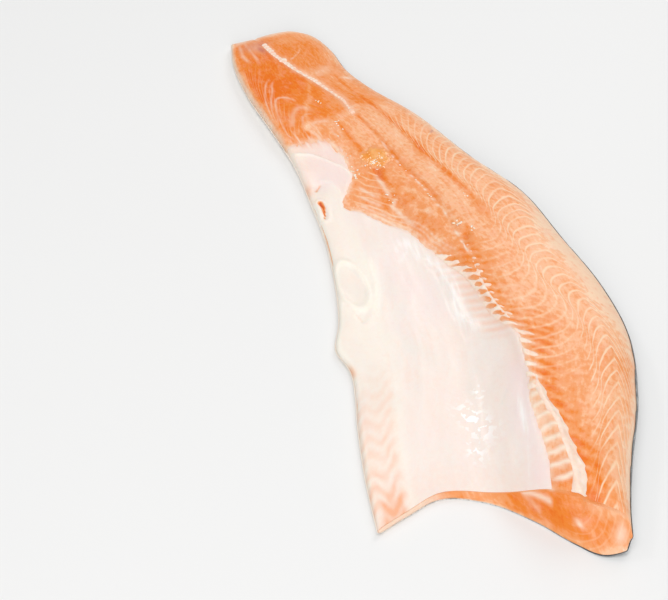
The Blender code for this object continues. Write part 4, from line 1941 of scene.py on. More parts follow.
        foot = self.form.under(np.ones(self.columns), columns)
        cut_rows, cut_masks = [top[-1]], []
        steps = np.linspace(0, 1, self.cut_rows + 1)
        for share in np.arange(1, self.cut_rows + 1) / self.cut_rows:
            points = top_points[-1] * (1 - share) + foot * share
            swell = self.form.head_cut_bulge * math.sin(math.pi * share) * 0.8
            points[:, 0] += swell + 0.25 * Unevenness(9.0, 81).at(points[:, 1], points[:, 2] * 2)
            ids = shell.add_points(points[1:-1])
            cut_rows.append(np.concatenate([top[-1, :1], ids, top[-1, -1:]]))
            cut_masks.append(self.cut_masks(columns[1:-1], share, points[1:-1]))
        shell.add_grid(np.array(cut_rows), spots_on_map(steps, columns, (MAP_LOW, 0.13), (0.3, 0.22)))
        shell.stitch(under[-1], thin, cut_rows[-1], columns, (0.35, 0.13), (0.37, 0.22))
        shell.stitch(under[0], thin, top[0], columns, (0.4, 0.13), (0.42, 0.22))
        return shell, self.all_masks(canvas, below, cut_masks)

    def all_masks(self, canvas: Canvas, below: Canvas, cut: list[dict[str, Array]]) -> dict[str, Array]:
        """Return the masks of the whole piece, in the order of its points.

        Args:
            canvas: The top.
            below: The underside.
            cut: The masks of each row of the head cut.

        Returns:
            The masks by name.
        """
        hem = 0.7 * step(0.08, 0.0, below.v)
        parts = {"ripeness": (self.ripeness(canvas), 0.4),
                 "septum_phase": (self.form.septum_phase(canvas), 0.5),
                 "septum_strength": (self.form.septum_strength(canvas), 0.0),
                 "cream": (self.cream(canvas), hem), "blood": (self.blood(canvas), 0.0)}
        masks = {name: beside(top, under + 0 * below.u, *(row[name] for row in cut))
                 for name, (top, under) in parts.items()}
        spots = [body_spots(canvas), body_spots(below, 0.03), *(row["spot"] for row in cut)]
        return {**masks, "spot": np.concatenate(spots)}

    def cut_masks(self, v: Array, share: float, points: Array) -> dict[str, Array]:
        """Return the masks of one row of the head cut.

        Args:
            v: Shares from belly to back.
            share: How far down the cut the row lies, from its rim to its foot.
            points: The row's points.

        Returns:
            The row's masks by name.
        """
        uneven = Unevenness(12.0, 82).at(points[:, 1], points[:, 2] * 2.5)
        fat = step(0.72, 0.97, share + 0.05 * uneven)
        rim = 0.26 * step(0.35, 0.0, share) * step(0.68, 0.76, v)
        tone = 0.78 - rim + 0.12 * uneven - 0.34 * fat
        tone = tone - 0.3 * step(0.58, 0.46, v) - 0.26 * step(0.8, 0.99, v)
        # The pale band and the white spot near the top of the cut are painted highlights, mixed into the
        # cream.
        band = bump(share - 0.14 - 2.6 * (v - 0.63), 0.09) * window(0.585, 0.68, 0.02, v)
        band = band + 0.35 * bump(share - 0.1 - 8.0 * (v - 0.58), 0.12) * window(0.585, 0.64, 0.02, v)
        spot = bump(v - 0.80, 0.018) * bump(share - 0.55 - 1.4 * (v - 0.80), 0.06)
        tip = 0.6 * bump(v - 0.955, 0.02) * bump(share - 0.5, 0.25)
        cream = 0.75 * band + 0.85 * spot + tip + 0.75 * step(0.34, 0.18, v)
        arcs = np.hypot(190 * (v - 0.77), 30 * (share - 0.1)) / 5.2 + 0.25 * uneven
        strength = (0.2 + 0.12 * uneven) * step(0.8, 0.9, v + 0.1 * share)
        spots = np.stack([points[:, 2] * MM + 0.7, points[:, 1] * MM, 0 * v], axis=-1)
        return {**limited(ripeness=tone, cream=cream), "septum_phase": arcs, "septum_strength": strength,
                "blood": 0 * v, "spot": spots}


@dataclass
class Skin(Piece):
    """The skin: a thin closed shell under the flesh, turned up a little over the back edge."""

    name: str = "skin"
    slot: Slot = Slot.SKIN
    thickness: float = 0.5
    rows: int = 330
    columns: int = 104
    tail_rows: int = 6
    wrap_columns: int = 8
    least_height: float = 0.2
    lateral_place: float = 0.53
    lateral_width: float = 0.005
    wrap: Profile = Profile((
        (0.0, 0.006), (0.25, 0.006), (0.5, 0.012), (0.7, 0.009), (0.85, 0.013), (1.0, 0.005)))

    def outer(self) -> tuple[Array, Canvas, Array]:
        """Return the outer surface, its canvas and how far each column has turned up.

        Returns:
            The points, their canvas, and the turn from 0 under the fillet to 1 at the rim.
        """
        rows = tail_first(self.form.tail_round, self.tail_rows, self.rows)
        u, v = np.broadcast_arrays(rows[:, None], eased(self.columns, 0.4)[None, :])
        side = self.form.from_rim(v, self.form.rim_turn)
        climb = np.linspace(0, 1, self.wrap_columns + 1)[1:]
        ragged = 1 + 0.55 * Unevenness(11.0, 91).at(rows * LENGTH, rows * 0)[:, None]
        back = 1 - self.wrap.at(rows)[:, None] * ragged * climb[None, :]
        a, b = np.broadcast_arrays(rows[:, None], back)
        under = self.form.surface(u, v, 0.5 - 0.5 * side, self.form.skin_height(u, v))
        lift = 0.5 + 0.5 * self.form.from_rim(b, self.form.rim_turn)
        top = self.form.surface(a, b, lift, self.form.flesh_height(a, b))
        canvas = Canvas(self.form, np.concatenate([u, a], axis=1), np.concatenate([v, b], axis=1))
        turned = np.concatenate([np.zeros(u.shape), np.broadcast_to(climb, a.shape)], axis=1)
        return np.concatenate([under, top], axis=1), canvas, turned

    def gather(self) -> tuple[Shell, dict[str, Array]]:
        """Return the piece's points and faces, and its masks by name.

        Returns:
            The shell, and one value a point for each mask.
        """
        points, canvas, turned = self.outer()
        normal = np.cross(np.gradient(points, axis=0), np.gradient(points, axis=1))
        normal /= np.maximum(np.linalg.norm(normal, axis=-1, keepdims=True), 1e-9)
        inner = points + normal * (self.thickness * (1 - 0.6 * turned))[..., None]
        inner[..., 2] = np.maximum(inner[..., 2], self.least_height)
        shell = Shell()
        rows, columns = (np.linspace(0, 1, count) for count in points.shape[:2])
        sides = []
        for side, low, high in ((points, 0.3, MAP_HIGH), (inner, 0.12, 0.28)):
            sides.append(shell.add_points(side))
            shell.add_grid(sides[-1], spots_on_map(rows, columns, (MAP_LOW, low), (MAP_HIGH, high)))
        ends = np.array([0.0, 1.0])
        for k, edge in enumerate((np.s_[0], np.s_[-1], np.s_[:, 0], np.s_[:, -1])):
            rim = np.stack([side[edge] for side in sides])
            along = np.linspace(0, 1, rim.shape[1])
            shell.add_grid(rim, spots_on_map(ends, along, (0.02 + 0.1 * k, MAP_LOW), (0.1 + 0.1 * k, 0.1)))
        height = np.clip(canvas.v + 0.02 * canvas.rough(30.0, 92), 0, 1)
        waver = 0.01 * canvas.rough(60.0, 93)
        lateral = bump(canvas.v - self.lateral_place - waver, self.lateral_width)
        lateral = lateral * window(0.03, 0.99, 0.02, canvas.u)
        spotty = 0.10 * step(0.3, 0.55, canvas.v) + 0.55 * step(0.5, 0.95, canvas.v)
        steps = np.linalg.norm(np.diff(points, axis=1), axis=-1)
        across = np.cumsum(np.pad(steps, ((0, 0), (1, 0))), axis=1)
        spots = np.stack([canvas.u * self.form.body_length, across, 0 * across], axis=-1)
        spots = spots.reshape(-1, 3) * MM
        return shell, {"flank_height": beside(height, height), "lateral": beside(lateral, lateral),
                       "spottiness": beside(spotty, spotty), "spot": np.tile(spots, (2, 1))}


@dataclass
class Layer(Piece):
    """A thin closed layer that rises out of the flesh where its height is above 0."""

    slot: Slot = Slot.CONNECTIVE
    low: Point = (0.0, 0.0)
    high: Point = (1.0, 1.0)
    spacing: float = 0.6
    sunk: float = 0.35
    floor: float = 0.15

    def height(self, canvas: Canvas) -> Array:
        """Return the layer's height over the flesh, in millimetres."""
        raise NotImplementedError

    def masks(self, canvas: Canvas) -> dict[str, Array]:
        """Return the layer's masks by name, from 0 to 1."""
        raise NotImplementedError

    def gather(self) -> tuple[Shell, dict[str, Array]]:
        """Return the piece's points and faces, and its masks by name.

        Returns:
            The shell, and one value a point for each mask.
        """
        low, high = np.array(self.low), np.array(self.high)
        counts = ((high - low) * MIDDLE_SPAN / self.spacing).astype(int)
        rows, columns = (np.linspace(*ends) for ends in zip(low, high, counts))
        canvas = Canvas(self.form, rows[:, None], columns[None, :])
        upper = self.form.point(canvas.u, canvas.v)
        lower = upper - [0, 0, self.sunk + self.floor]
        rise = np.maximum(self.height(canvas), -self.sunk)
        upper[..., 2] += rise
        keep = self.kept_cells(rise > -0.98 * self.sunk)
        shell = Shell()
        top, bottom = shell.add_points(upper), shell.add_points(lower)
        shares = [np.linspace(0, 1, count) for count in counts]
        low_map = spots_on_map(*shares, (MAP_LOW, MAP_LOW), (MAP_HIGH, 0.28))
        shell.add_grid(top, spots_on_map(*shares, (MAP_LOW, 0.3), (MAP_HIGH, MAP_HIGH)), keep)
        shell.add_grid(bottom[:, ::-1], low_map[:, ::-1], keep[:, ::-1])
        self.add_sides(shell, top, bottom, keep)
        masks = {name: beside(values, values) for name, values in self.masks(canvas).items()}
        masks["spot"] = np.tile(body_spots(canvas), (2, 1))
        return shell, masks

    @staticmethod
    def kept_cells(up: Array) -> Array:
        """Return the cells that a layer covers.

        Args:
            up: Whether it shows at each point.

        Returns:
            Whether each cell is covered, with no two covered cells that meet at a corner only.
        """
        keep = up[:-1, :-1] | up[1:, :-1] | up[1:, 1:] | up[:-1, 1:]
        a, b, c, d = keep[:-1, :-1], keep[1:, :-1], keep[:-1, 1:], keep[1:, 1:]
        for _ in range(2):
            a |= b & c & ~d
            b |= a & d & ~c
        return keep

    @staticmethod
    def add_sides(shell: Shell, top: Array, bottom: Array, keep: Array) -> None:
        """Close the rim between the two sides of the layer.

        Args:
            shell: The body under construction.
            top: Point numbers of the upper side.
            bottom: Point numbers of the lower side.
            keep: Which cells the layer covers.
        """
        sides = []
        for axis, (along, across) in enumerate(((0, 1), (1, 0))):
            padded = np.pad(keep, ((across, across), (along, along))).astype(int)
            i, j = np.nonzero(np.diff(padded, axis=axis))
            k, m = i + along, j + across
            sides.append(np.stack([top[i, j], top[k, m], bottom[k, m], bottom[i, j]], axis=-1))
        faces = np.concatenate(sides)
        cell = (MAP_HIGH - MAP_LOW) / len(faces)
        left = MAP_LOW + cell * np.arange(len(faces))
        x = np.stack([left, left + 0.9 * cell, left + 0.9 * cell, left], axis=-1)
        y = np.array([0.286, 0.286, 0.294, 0.294]) + 0 * x
        shell.add_faces(faces, np.stack([x, y], axis=-1))


@dataclass
class BellyLining(Layer):
    """The milky lining of the belly cavity, with its folds, cord, pad and vent."""

    name: str = "belly_lining"
    slot: Slot = Slot.MEMBRANE
    low: Point = (0.285, 0.0)
    high: Point = (1.0, 0.72)
    spacing: float = 1.18
    thickness: float = 0.5

    height_marks: tuple[Mark, ...] = (
        Line(0.9, MARKS.gut_cord, 1.1, 0.12), Line(0.5, MARKS.skirt, 1.4, 0.2),
        Line(-0.3, MARKS.vent_slit, 1.0, 0.2), Line(-0.3, MARKS.pad_slit, 1.0, 0.2),
        Line(1.0, ((0.56, 0.14),) + MARKS.pad_fold[1:] + ((0.694, 0.1),), 3.0, 0.2))
    blush_marks: tuple[Mark, ...] = (
        Area(0.22), Area(0.35, (0.305, 0.42, 0.02), (0.05, 0.26, 0.05)),
        Area(0.3, (0.5, 0.86, 0.1), (0.12, 0.0)))
    cream_marks: tuple[Mark, ...] = (
        Line(0.95, MARKS.gut_cord, 1.2, 0.1), Line(0.5, MARKS.skirt, 2.0, 0.2),
        Line(0.75, MARKS.pad_fold, 3.6, 0.2), Area(0.7, (), (5.0 / WIDTH, 0.5 / WIDTH)),
        Area(0.5, (0.41, 0.57, 0.03), (0.0, 0.13, 0.03)), Area(0.4, (0.28, 0.325, 0.02)),
        Area(0.55, (0.6, 1.1, 0.05), (0.0, 0.15, 0.05)))
    # The first line here is painted shade along the outer side of the pad fold.
    grey_marks: tuple[Mark, ...] = (
        Line(0.22, ((0.57, 0.178), (0.609, 0.183), (0.65, 0.172), (0.685, 0.15)), 1.6, 0.2),
        Line(0.6, ((0.86, 0.535), (0.87, 0.527), (0.878, 0.52)), 0.7),
        Spot(0.5, (0.845, 0.415), (8.0, 5.0)), Spot(0.4, (0.77, 0.26), (16.0, 8.0), 20),
        Spot(0.8, (0.604, 0.375), (1.8, 1.0)), Spot(0.8, (0.652, 0.409), (1.2, 1.0)))
    fold_loops: tuple[Mark, ...] = (
        Line(0.6, MARKS.fibre_fold, 5.0, 0.15),
        Line(0.4, ((0.556, 0.33), (0.568, 0.29), (0.585, 0.27)), 1.8, 0.2),
        Line(0.4, ((0.575, 0.34), (0.59, 0.3), (0.604, 0.265)), 1.8, 0.2))
    fold_marks: tuple[Mark, ...] = (
        Line(0.8, ((0.86, 0.565), (0.888, 0.583), (0.915, 0.6), (0.936, 0.609)), 1.5, 0.3),
        Line(0.4, ((0.93, 0.605), (0.96, 0.613), (0.989, 0.612)), 0.7, 0.2))
    lilac_marks: tuple[Mark, ...] = (
        Area(0.26, (0.33, 0.4, 0.03), (0.1, 0.22, 0.06)), Spot(0.3, (0.65, 0.29), (34.0, 13.0), 8))
    salmon_marks: tuple[Mark, ...] = (
        Area(0.12, (0.74, 0.84), (0.16, 0.12)), Area(0.1, (0.93, 0.99)),
        Area(0.4, (0.962, 0.985), (0.045, 0.115, 0.02)), Area(0.6, Near(0.397, 0.012), (0.045, 0.0)),
        Area(0.14, (0.29, 0.42, 0.02), (0.06, 0.01)))
    ember_marks: tuple[Mark, ...] = (
        Line(0.6, MARKS.vent_slit, 0.8, 0.15), Line(0.22, MARKS.pad_slit, 0.8, 0.2),
        Spot(0.4, (0.752, 0.0), (7.0, 3.0)))
    # Where the painted highlights of the wet lining go.
    pearl_marks: tuple[Mark, ...] = (
        Spot(1.4, (0.895, 0.43), (15.0, 7.0), 10), Spot(0.9, (0.94, 0.425), (9.0, 5.0)),
        Spot(1.0, (0.85, 0.44), (7.0, 3.0)))

    def height(self, canvas: Canvas) -> Array:
        """Return the lining's height over the flesh.

        Args:
            canvas: The places asked for.

        Returns:
            The height in millimetres, below zero where the lining is absent.
        """
        u, v = canvas.u, canvas.v
        ragged = 1.3 * canvas.rough(6.0, 101) + 0.8 * canvas.rough(2.4, 102)
        lace = canvas.grained(13.0, 2.4, 106) * window(0.25, 0.34, 0.02, u) * step(0.02, 0.07, v)
        ragged = ragged + 5.5 * lace
        inside = canvas.inside_lining() + ragged * window(0.29, 0.97, 0.02, u)
        body = step(0.0, 4.0, inside)
        folds = 0.28 * canvas.grained(70.0, 9.0, 103) + 0.16 * canvas.grained(26.0, 7.0, 104)
        fibres = canvas.stroke(MARKS.fibre_fold, 4.0, 0.15) * (1 + 0.8 * canvas.grained(14.0, 2.4, 105))
        oval, ring = self.pad_oval(canvas)
        lips = canvas.reach(MARKS.vent)[0]
        return (raised(inside, self.thickness, (-0.2, 2.4), (0.2, -1.6), 0.7)
                + body * folds * window(0.0, 0.9, 0.1, v) + 0.6 * fibres + add_up(self.height_marks, canvas)
                + 1.3 * bump(ring - 1.12, 0.16) - 0.1 * step(0.45, 0.75, oval)
                + 0.9 * bump(lips - 3.2, 1.3) * body - 0.45 * bump(lips, 1.6))

    def pad_oval(self, canvas: Canvas) -> tuple[Array, Array]:
        """Return the oval pad's soft shape, and how far out each place is in shares of its half size."""
        oval = canvas.blob((0.609, 0.063), (20.0, 9.0), -4)
        return oval, np.sqrt(-np.log(np.maximum(oval, 1e-9)))

    def masks(self, canvas: Canvas) -> dict[str, Array]:
        """Return the lining's masks by name.

        Args:
            canvas: The places asked for.

        Returns:
            Masks from 0 to 1.
        """
        u, v = canvas.u, canvas.v
        inside = canvas.inside_lining()
        stripes = self.form.ribs.from_rib(canvas) * window(0.63, 0.765, 0.02, u) * step(15.0, 6.0, inside)
        oval, ring = self.pad_oval(canvas)
        pad, side = step(0.3, 0.7, oval), 0.6 + 0.8 * canvas.rough(14.0, 128)
        blush = 0.2 * canvas.rough(28.0, 111) + 0.10 * canvas.grained(60.0, 6.0, 112)
        blush = blush + add_up(self.blush_marks, canvas)
        blush = blush + 0.3 * bump(inside - 3, 8.0) * window(0.6, 0.97, 0.05, u) + 0.5 * stripes
        blush = blush * (1 - pad) + (0.62 + 0.4 * canvas.blob((0.595, 0.076), (6.0, 4.0))) * pad
        cream = add_up(self.cream_marks, canvas) + side * bump(ring - 1.13, 0.14)
        # The pad's hollow is greyer, and so are two thin rings inside and outside its raised rim: painted
        # shade.
        grey = 0.16 * pad + side * (0.3 * bump(ring - 0.86, 0.07) + 0.2 * bump(ring - 1.42, 0.07))
        grey = grey + 0.22 * step(0.1, 0.7, canvas.rough(24.0, 113)) * window(0.62, 0.96, 0.06, u)
        lilac = 0.4 * bump(inside - 6, 8.0) * window(0.84, 0.97, 0.05, u) * step(0.4, 0.5, v)
        vent_gap, vent_share = canvas.reach(MARKS.vent)
        ember = 1.05 * step(2.9 - 2.4 * vent_share, 0.7 - 0.6 * vent_share, vent_gap)
        # The glint mask places painted highlights; the grey mask holds grey tint and painted shade.
        return limited(blush=blush, cream=cream, grey=grey + add_up(self.grey_marks, canvas),
                       salmon=self.salmon(canvas) + 0.3 * stripes,
                       ember=ember + add_up(self.ember_marks, canvas),
                       pearl=add_up(self.pearl_marks, canvas),
                       lilac=lilac + 0.16 * canvas.rough(22.0, 117) + add_up(self.lilac_marks, canvas),
                       fold=strongest(self.fold_loops, canvas) + add_up(self.fold_marks, canvas))

    def salmon(self, canvas: Canvas) -> Array:
        """Return where the flesh's colour comes through.

        Args:
            canvas: The places asked for.

        Returns:
            The share of the flesh's colour.
        """
        u, v = canvas.u, canvas.v
        inside = canvas.inside_lining()
        phase = (u - 0.88) / 0.0255 + 0.35 * np.sin(v * 60) + 0.25 * canvas.rough(8.0, 114)
        bands = teeth(phase, 0.3) * step(0.74, 0.84, u) * step(0.16, 0.12, v)
        bands = bands * (0.5 + 0.5 * step(0.84, 0.96, u)) * (1 + 0.8 * canvas.rough(9.0, 118))
        edge = step(2.2, 0.0, inside) * window(0.31, 0.98, 0.02, u)
        front = step(11.0, -1.0, inside) * window(0.25, 0.33, 0.03, u) * step(0.02, 0.07, v)
        front = front * (0.42 + 0.6 * canvas.grained(12.0, 2.6, 119))
        cord_u = np.interp(v, *np.array(MARKS.gut_cord).T[::-1])
        before = step(0.002, -0.006, u - cord_u) * (1 + 0.6 * canvas.rough(9.0, 120))
        fine = canvas.grained(24.0, 2.2, 127) * window(0.6, 0.8, 0.05, u) * window(0.16, 0.4, 0.05, v)
        return (add_up(self.salmon_marks, canvas) + 0.4 * bands + 0.25 * edge + front + 0.17 * before
                + 0.13 * fine)


@dataclass
class RibEnds(Layer):
    """The row of cream rib ends along the belly lining."""

    name: str = "rib_ends"
    tall: float = 0.62
    low: Point = (0.59, 0.38)
    high: Point = (0.88, 0.70)
    spacing: float = 0.62

    def height(self, canvas: Canvas) -> Array:
        """Return the height of the row of rib ends."""
        return raised(self.form.ribs.reach(canvas), self.tall, (-0.3, 1.1), (0.1, -0.6))

    def masks(self, canvas: Canvas) -> dict[str, Array]:
        """Return the masks of the rib ends.

        Args:
            canvas: The places asked for.

        Returns:
            Masks from 0 to 1.
        """
        inside = self.form.ribs.reach(canvas)
        beyond = step(-0.004, 0.008, canvas.v - MARKS.pin_line.at(canvas.u))
        shade = 0.22 + 0.3 * canvas.rough(4.0, 121) + 0.4 * step(0.7, 0.0, inside) + 0.25 * beyond
        return limited(shade=shade, warmth=0.4 * step(0.2, -0.3, inside))


@dataclass
class RibRidge(Layer):
    """The cream ridge that the rib ends grow into near the head."""

    name: str = "rib_ridge"
    tall: float = 0.75
    low: Point = (0.845, 0.58)
    high: Point = (1.0, 0.86)

    def inside(self, canvas: Canvas) -> Array:
        """Return how far each place is inside the ridge.

        Args:
            canvas: The places asked for.

        Returns:
            The distance in millimetres, below zero outside.
        """
        gap, share = canvas.reach(MARKS.rib_ridge)
        width = 0.6 + 1.8 * step(0.0, 0.12, share) + 2.1 * step(0.2, 0.95, share)
        roots = 1.2 * teeth(self.form.ribs.phase(canvas), 0.22) * (canvas.v > MARKS.ridge_at(canvas.u))
        return width + roots * step(0.95, 0.6, share) + 0.5 * canvas.rough(4.0, 122) - gap

    def height(self, canvas: Canvas) -> Array:
        """Return the height of the cream ridge."""
        return raised(self.inside(canvas), self.tall, (-0.4, 3.2), (0.3, -1.0))

    def masks(self, canvas: Canvas) -> dict[str, Array]:
        """Return the masks of the ridge.

        Args:
            canvas: The places asked for.

        Returns:
            Masks from 0 to 1.
        """
        inside = self.inside(canvas)
        shade = 0.3 + 0.3 * canvas.rough(5.0, 124) + 0.3 * step(0.8, -0.2, inside)
        return limited(shade=shade, warmth=0.4 * step(0.0, -1.2, inside))


@dataclass
class TailSeptum(Layer):
    """The white wall of tissue along the tail's middle, cross-cut by the knife."""

    name: str = "tail_septum"
    tall: float = 0.85
    low: Point = (0.015, 0.32)
    high: Point = (0.30, 0.66)
    cuts: int = 33

    def inside(self, canvas: Canvas) -> tuple[Array, Array, Array]:
        """Return how far each place is inside the wall, and where it lies along it.

        Args:
            canvas: The places asked for.

        Returns:
            The distance in millimetres, the share of the wall's length, and the phase of the cuts.
        """
        gap, share = canvas.reach(MARKS.tail_septum, 60)
        phase = 2 * np.pi * share * self.cuts + 5 * canvas.rough(9.0, 131)
        width = 2.2 - 1.15 * step(0.15, 0.8, share) + 0.4 * canvas.rough(6.0, 133)
        knob = 1.5 * bump(share - 0.265, 0.02) + 0.9 * bump(share - 0.93, 0.03)
        ends = -3.0 * step(0.03, 0.0, share) - 2.5 * step(0.95, 1.0, share)
        inside = width + knob + 0.12 * np.sin(phase) + 0.3 * canvas.rough(2.5, 132) + ends - gap
        return inside, share, phase

    def height(self, canvas: Canvas) -> Array:
        """Return the wall's height."""
        return raised(self.inside(canvas)[0], self.tall, (-0.3, 2.0), (0.2, -0.8))

    def masks(self, canvas: Canvas) -> dict[str, Array]:
        """Return the wall's masks.

        Args:
            canvas: The places asked for.

        Returns:
            Masks from 0 to 1.
        """
        inside, share, phase = self.inside(canvas)
        shade = 0.65 * (0.5 - 0.5 * np.sin(phase + inside)) + 0.4 * step(0.7, -0.2, inside)
        shade = shade + 0.3 * canvas.rough(5.0, 134) + 0.4 * step(0.5, 1.0, share)
        return limited(shade=shade, warmth=0.45 * step(0.3, -0.6, inside))


@dataclass
class Jelly(Layer):
    """A glistening lump of fat beside the spine line."""

    name: str = "fat_lump"
    low: Point = (0.345, 0.33)
    high: Point = (0.42, 0.52)
    spacing: float = 0.4
    lumps: tuple[Mark, ...] = (
        Spot(1.5, (0.383, 0.42), (10.0, 7.5), 20), Spot(1.1, (0.372, 0.405), (8.0, 5.0), 20),
        Spot(1.3, (0.393, 0.405), (6.0, 5.0), 20), Spot(1.1, (0.377, 0.46), (7.0, 5.0), 20),
        Spot(0.9, (0.397, 0.445), (4.5, 3.6), 20), Spot(0.7, (0.391, 0.475), (4.5, 3.5), 20))
    deep: tuple[Mark, ...] = (
        Area(0.25), Spot(0.7, (0.374, 0.4), (5.0, 4.0)), Spot(0.4, (0.4, 0.4), (5.0, 6.0)))

    def height(self, canvas: Canvas) -> Array:
        """Return the lump's height over the flesh.

        Args:
            canvas: The places asked for.

        Returns:
            The height in millimetres, below zero outside the lump.
        """
        rise = add_up(self.lumps, canvas)
        folds = 0.5 * canvas.rough(4.2, 151) + 0.3 * canvas.rough(2.0, 152)
        return 0.34 * np.clip(rise - 0.5, -1, 1.4) + 0.8 * folds * np.clip(rise, 0, 1)

    def masks(self, canvas: Canvas) -> dict[str, Array]:
        """Return the lump's masks.

        Args:
            canvas: The places asked for.

        Returns:
            Masks from 0 to 1.
        """
        thin = step(0.42, -0.05, self.height(canvas))
        return limited(shade=add_up(self.deep, canvas) + 0.5 * canvas.rough(5.0, 153),
                       warmth=0.1 + 0.5 * canvas.rough(4.0, 154) + thin)


@dataclass
class Beads(Piece):
    """Small beads of fat and jelly on the flesh, each a closed rounded drop, coloured near white as a
    painted highlight.
    """

    name: str = "fat_beads"
    slot: Slot = Slot.CONNECTIVE
    seed: int = 141
    rings: int = 6
    sides: int = 12
    map_cells: int = 16
    groups: tuple[tuple[Point, Point, int, float], ...] = (
        ((0.394, 0.405), (6.0, 5.0), 16, 0.85), ((0.38, 0.455), (5.0, 3.0), 6, 0.8),
        ((0.36, 0.30), (13.0, 4.0), 6, 0.6), ((0.398, 0.275), (9.0, 2.5), 8, 0.75),
        ((0.285, 0.39), (9.0, 4.0), 6, 0.5), ((0.225, 0.39), (4.0, 6.0), 4, 0.5),
        ((0.566, 0.547), (4.0, 2.5), 6, 0.8), ((0.582, 0.59), (4.0, 2.5), 3, 0.6),
        ((0.45, 0.507), (34.0, 1.5), 8, 0.55), ((0.48, 0.35), (9.0, 3.5), 4, 0.6),
        ((0.512, 0.66), (3.0, 3.0), 3, 0.6))

    def gather(self) -> tuple[Shell, dict[str, Array]]:
        """Return the piece's points and faces, and its masks by name.

        Returns:
            The shell, and one value a point for each mask.
        """
        chance = np.random.default_rng(self.seed)
        shell = Shell()
        masks: dict[str, list[Array]] = {"shade": [], "warmth": [], "spot": []}
        sizes = [(at, size, radius) for at, size, count, radius in self.groups for _ in range(count)]
        for number, (at, size, radius) in enumerate(sizes):
            u, v = at + chance.normal(0, 0.55, 2) * size / MIDDLE_SPAN
            self.add_drop(shell, (u, v), radius * chance.uniform(0.6, 1.25), chance, number)
            points = self.rings * self.sides + 2
            masks["shade"].append(np.full(points, chance.uniform(0.1, 0.9)))
            masks["warmth"].append(np.full(points, chance.uniform(0.0, 0.7)))
            masks["spot"].append(shell.points[-1] * MM)
        return shell, {name: np.concatenate(values) for name, values in masks.items()}

    def add_drop(self, shell: Shell, at: Point, radius: float, chance: np.random.Generator,
                 number: int) -> None:
        """Add one drop, sunk by a third into the flesh.

        Args:
            shell: The piece that it joins.
            at: Its (u, v).
            radius: Its radius in millimetres.
            chance: Where its uneven form comes from.
            number: Its number, which picks its cell on the flat map.
        """
        centre = self.form.point(*np.array(at))
        long, turn = radius * chance.uniform(1.1, 2.2), chance.uniform(0, np.pi)
        tall = radius * chance.uniform(0.4, 0.6)
        lat = np.pi * np.arange(1, self.rings + 1) / (self.rings + 1)
        lon = 2 * np.pi * np.arange(self.sides) / self.sides
        x = long * np.sin(lat)[:, None] * np.cos(lon)
        y = radius * np.sin(lat)[:, None] * np.sin(lon)
        z = tall * np.cos(lat)[:, None] + 0 * lon
        c, s = np.cos(turn), np.sin(turn)
        ring = np.stack([x * c - y * s, x * s + y * c, z], axis=-1)
        points = np.concatenate([ring.reshape(-1, 3), [[0, 0, tall], [0, 0, -tall]]])
        ids = shell.add_points(points + centre + [0, 0, 0.3 * tall])
        body, top, foot = ids[:-2].reshape(self.rings, self.sides), ids[-2], ids[-1]
        closed = np.concatenate([body, body[:, :1]], axis=1)
        column, row = number % self.map_cells, number // self.map_cells
        low, high = ((np.array([column, row]) + inset) / self.map_cells for inset in (0.1, 0.9))
        rings, sides = np.linspace(0.12, 0.88, self.rings), np.linspace(0, 1, self.sides + 1)
        places = spots_on_map(rings, sides, low, high)
        shell.add_grid(closed, places)
        for cap, row, edge in ((top, 0, low[0]), (foot, -1, high[0])):
            faces = np.stack([closed[row, :-1], closed[row, 1:], np.full(self.sides, cap)], axis=-1)
            tip = places[row, :-1] * 0.5 + places[row, 1:] * 0.5
            tip[:, 0] = edge
            shell.add_faces(faces, np.stack([places[row, :-1], places[row, 1:], tip], axis=1))


# ---------------------------------------------------------------- studio


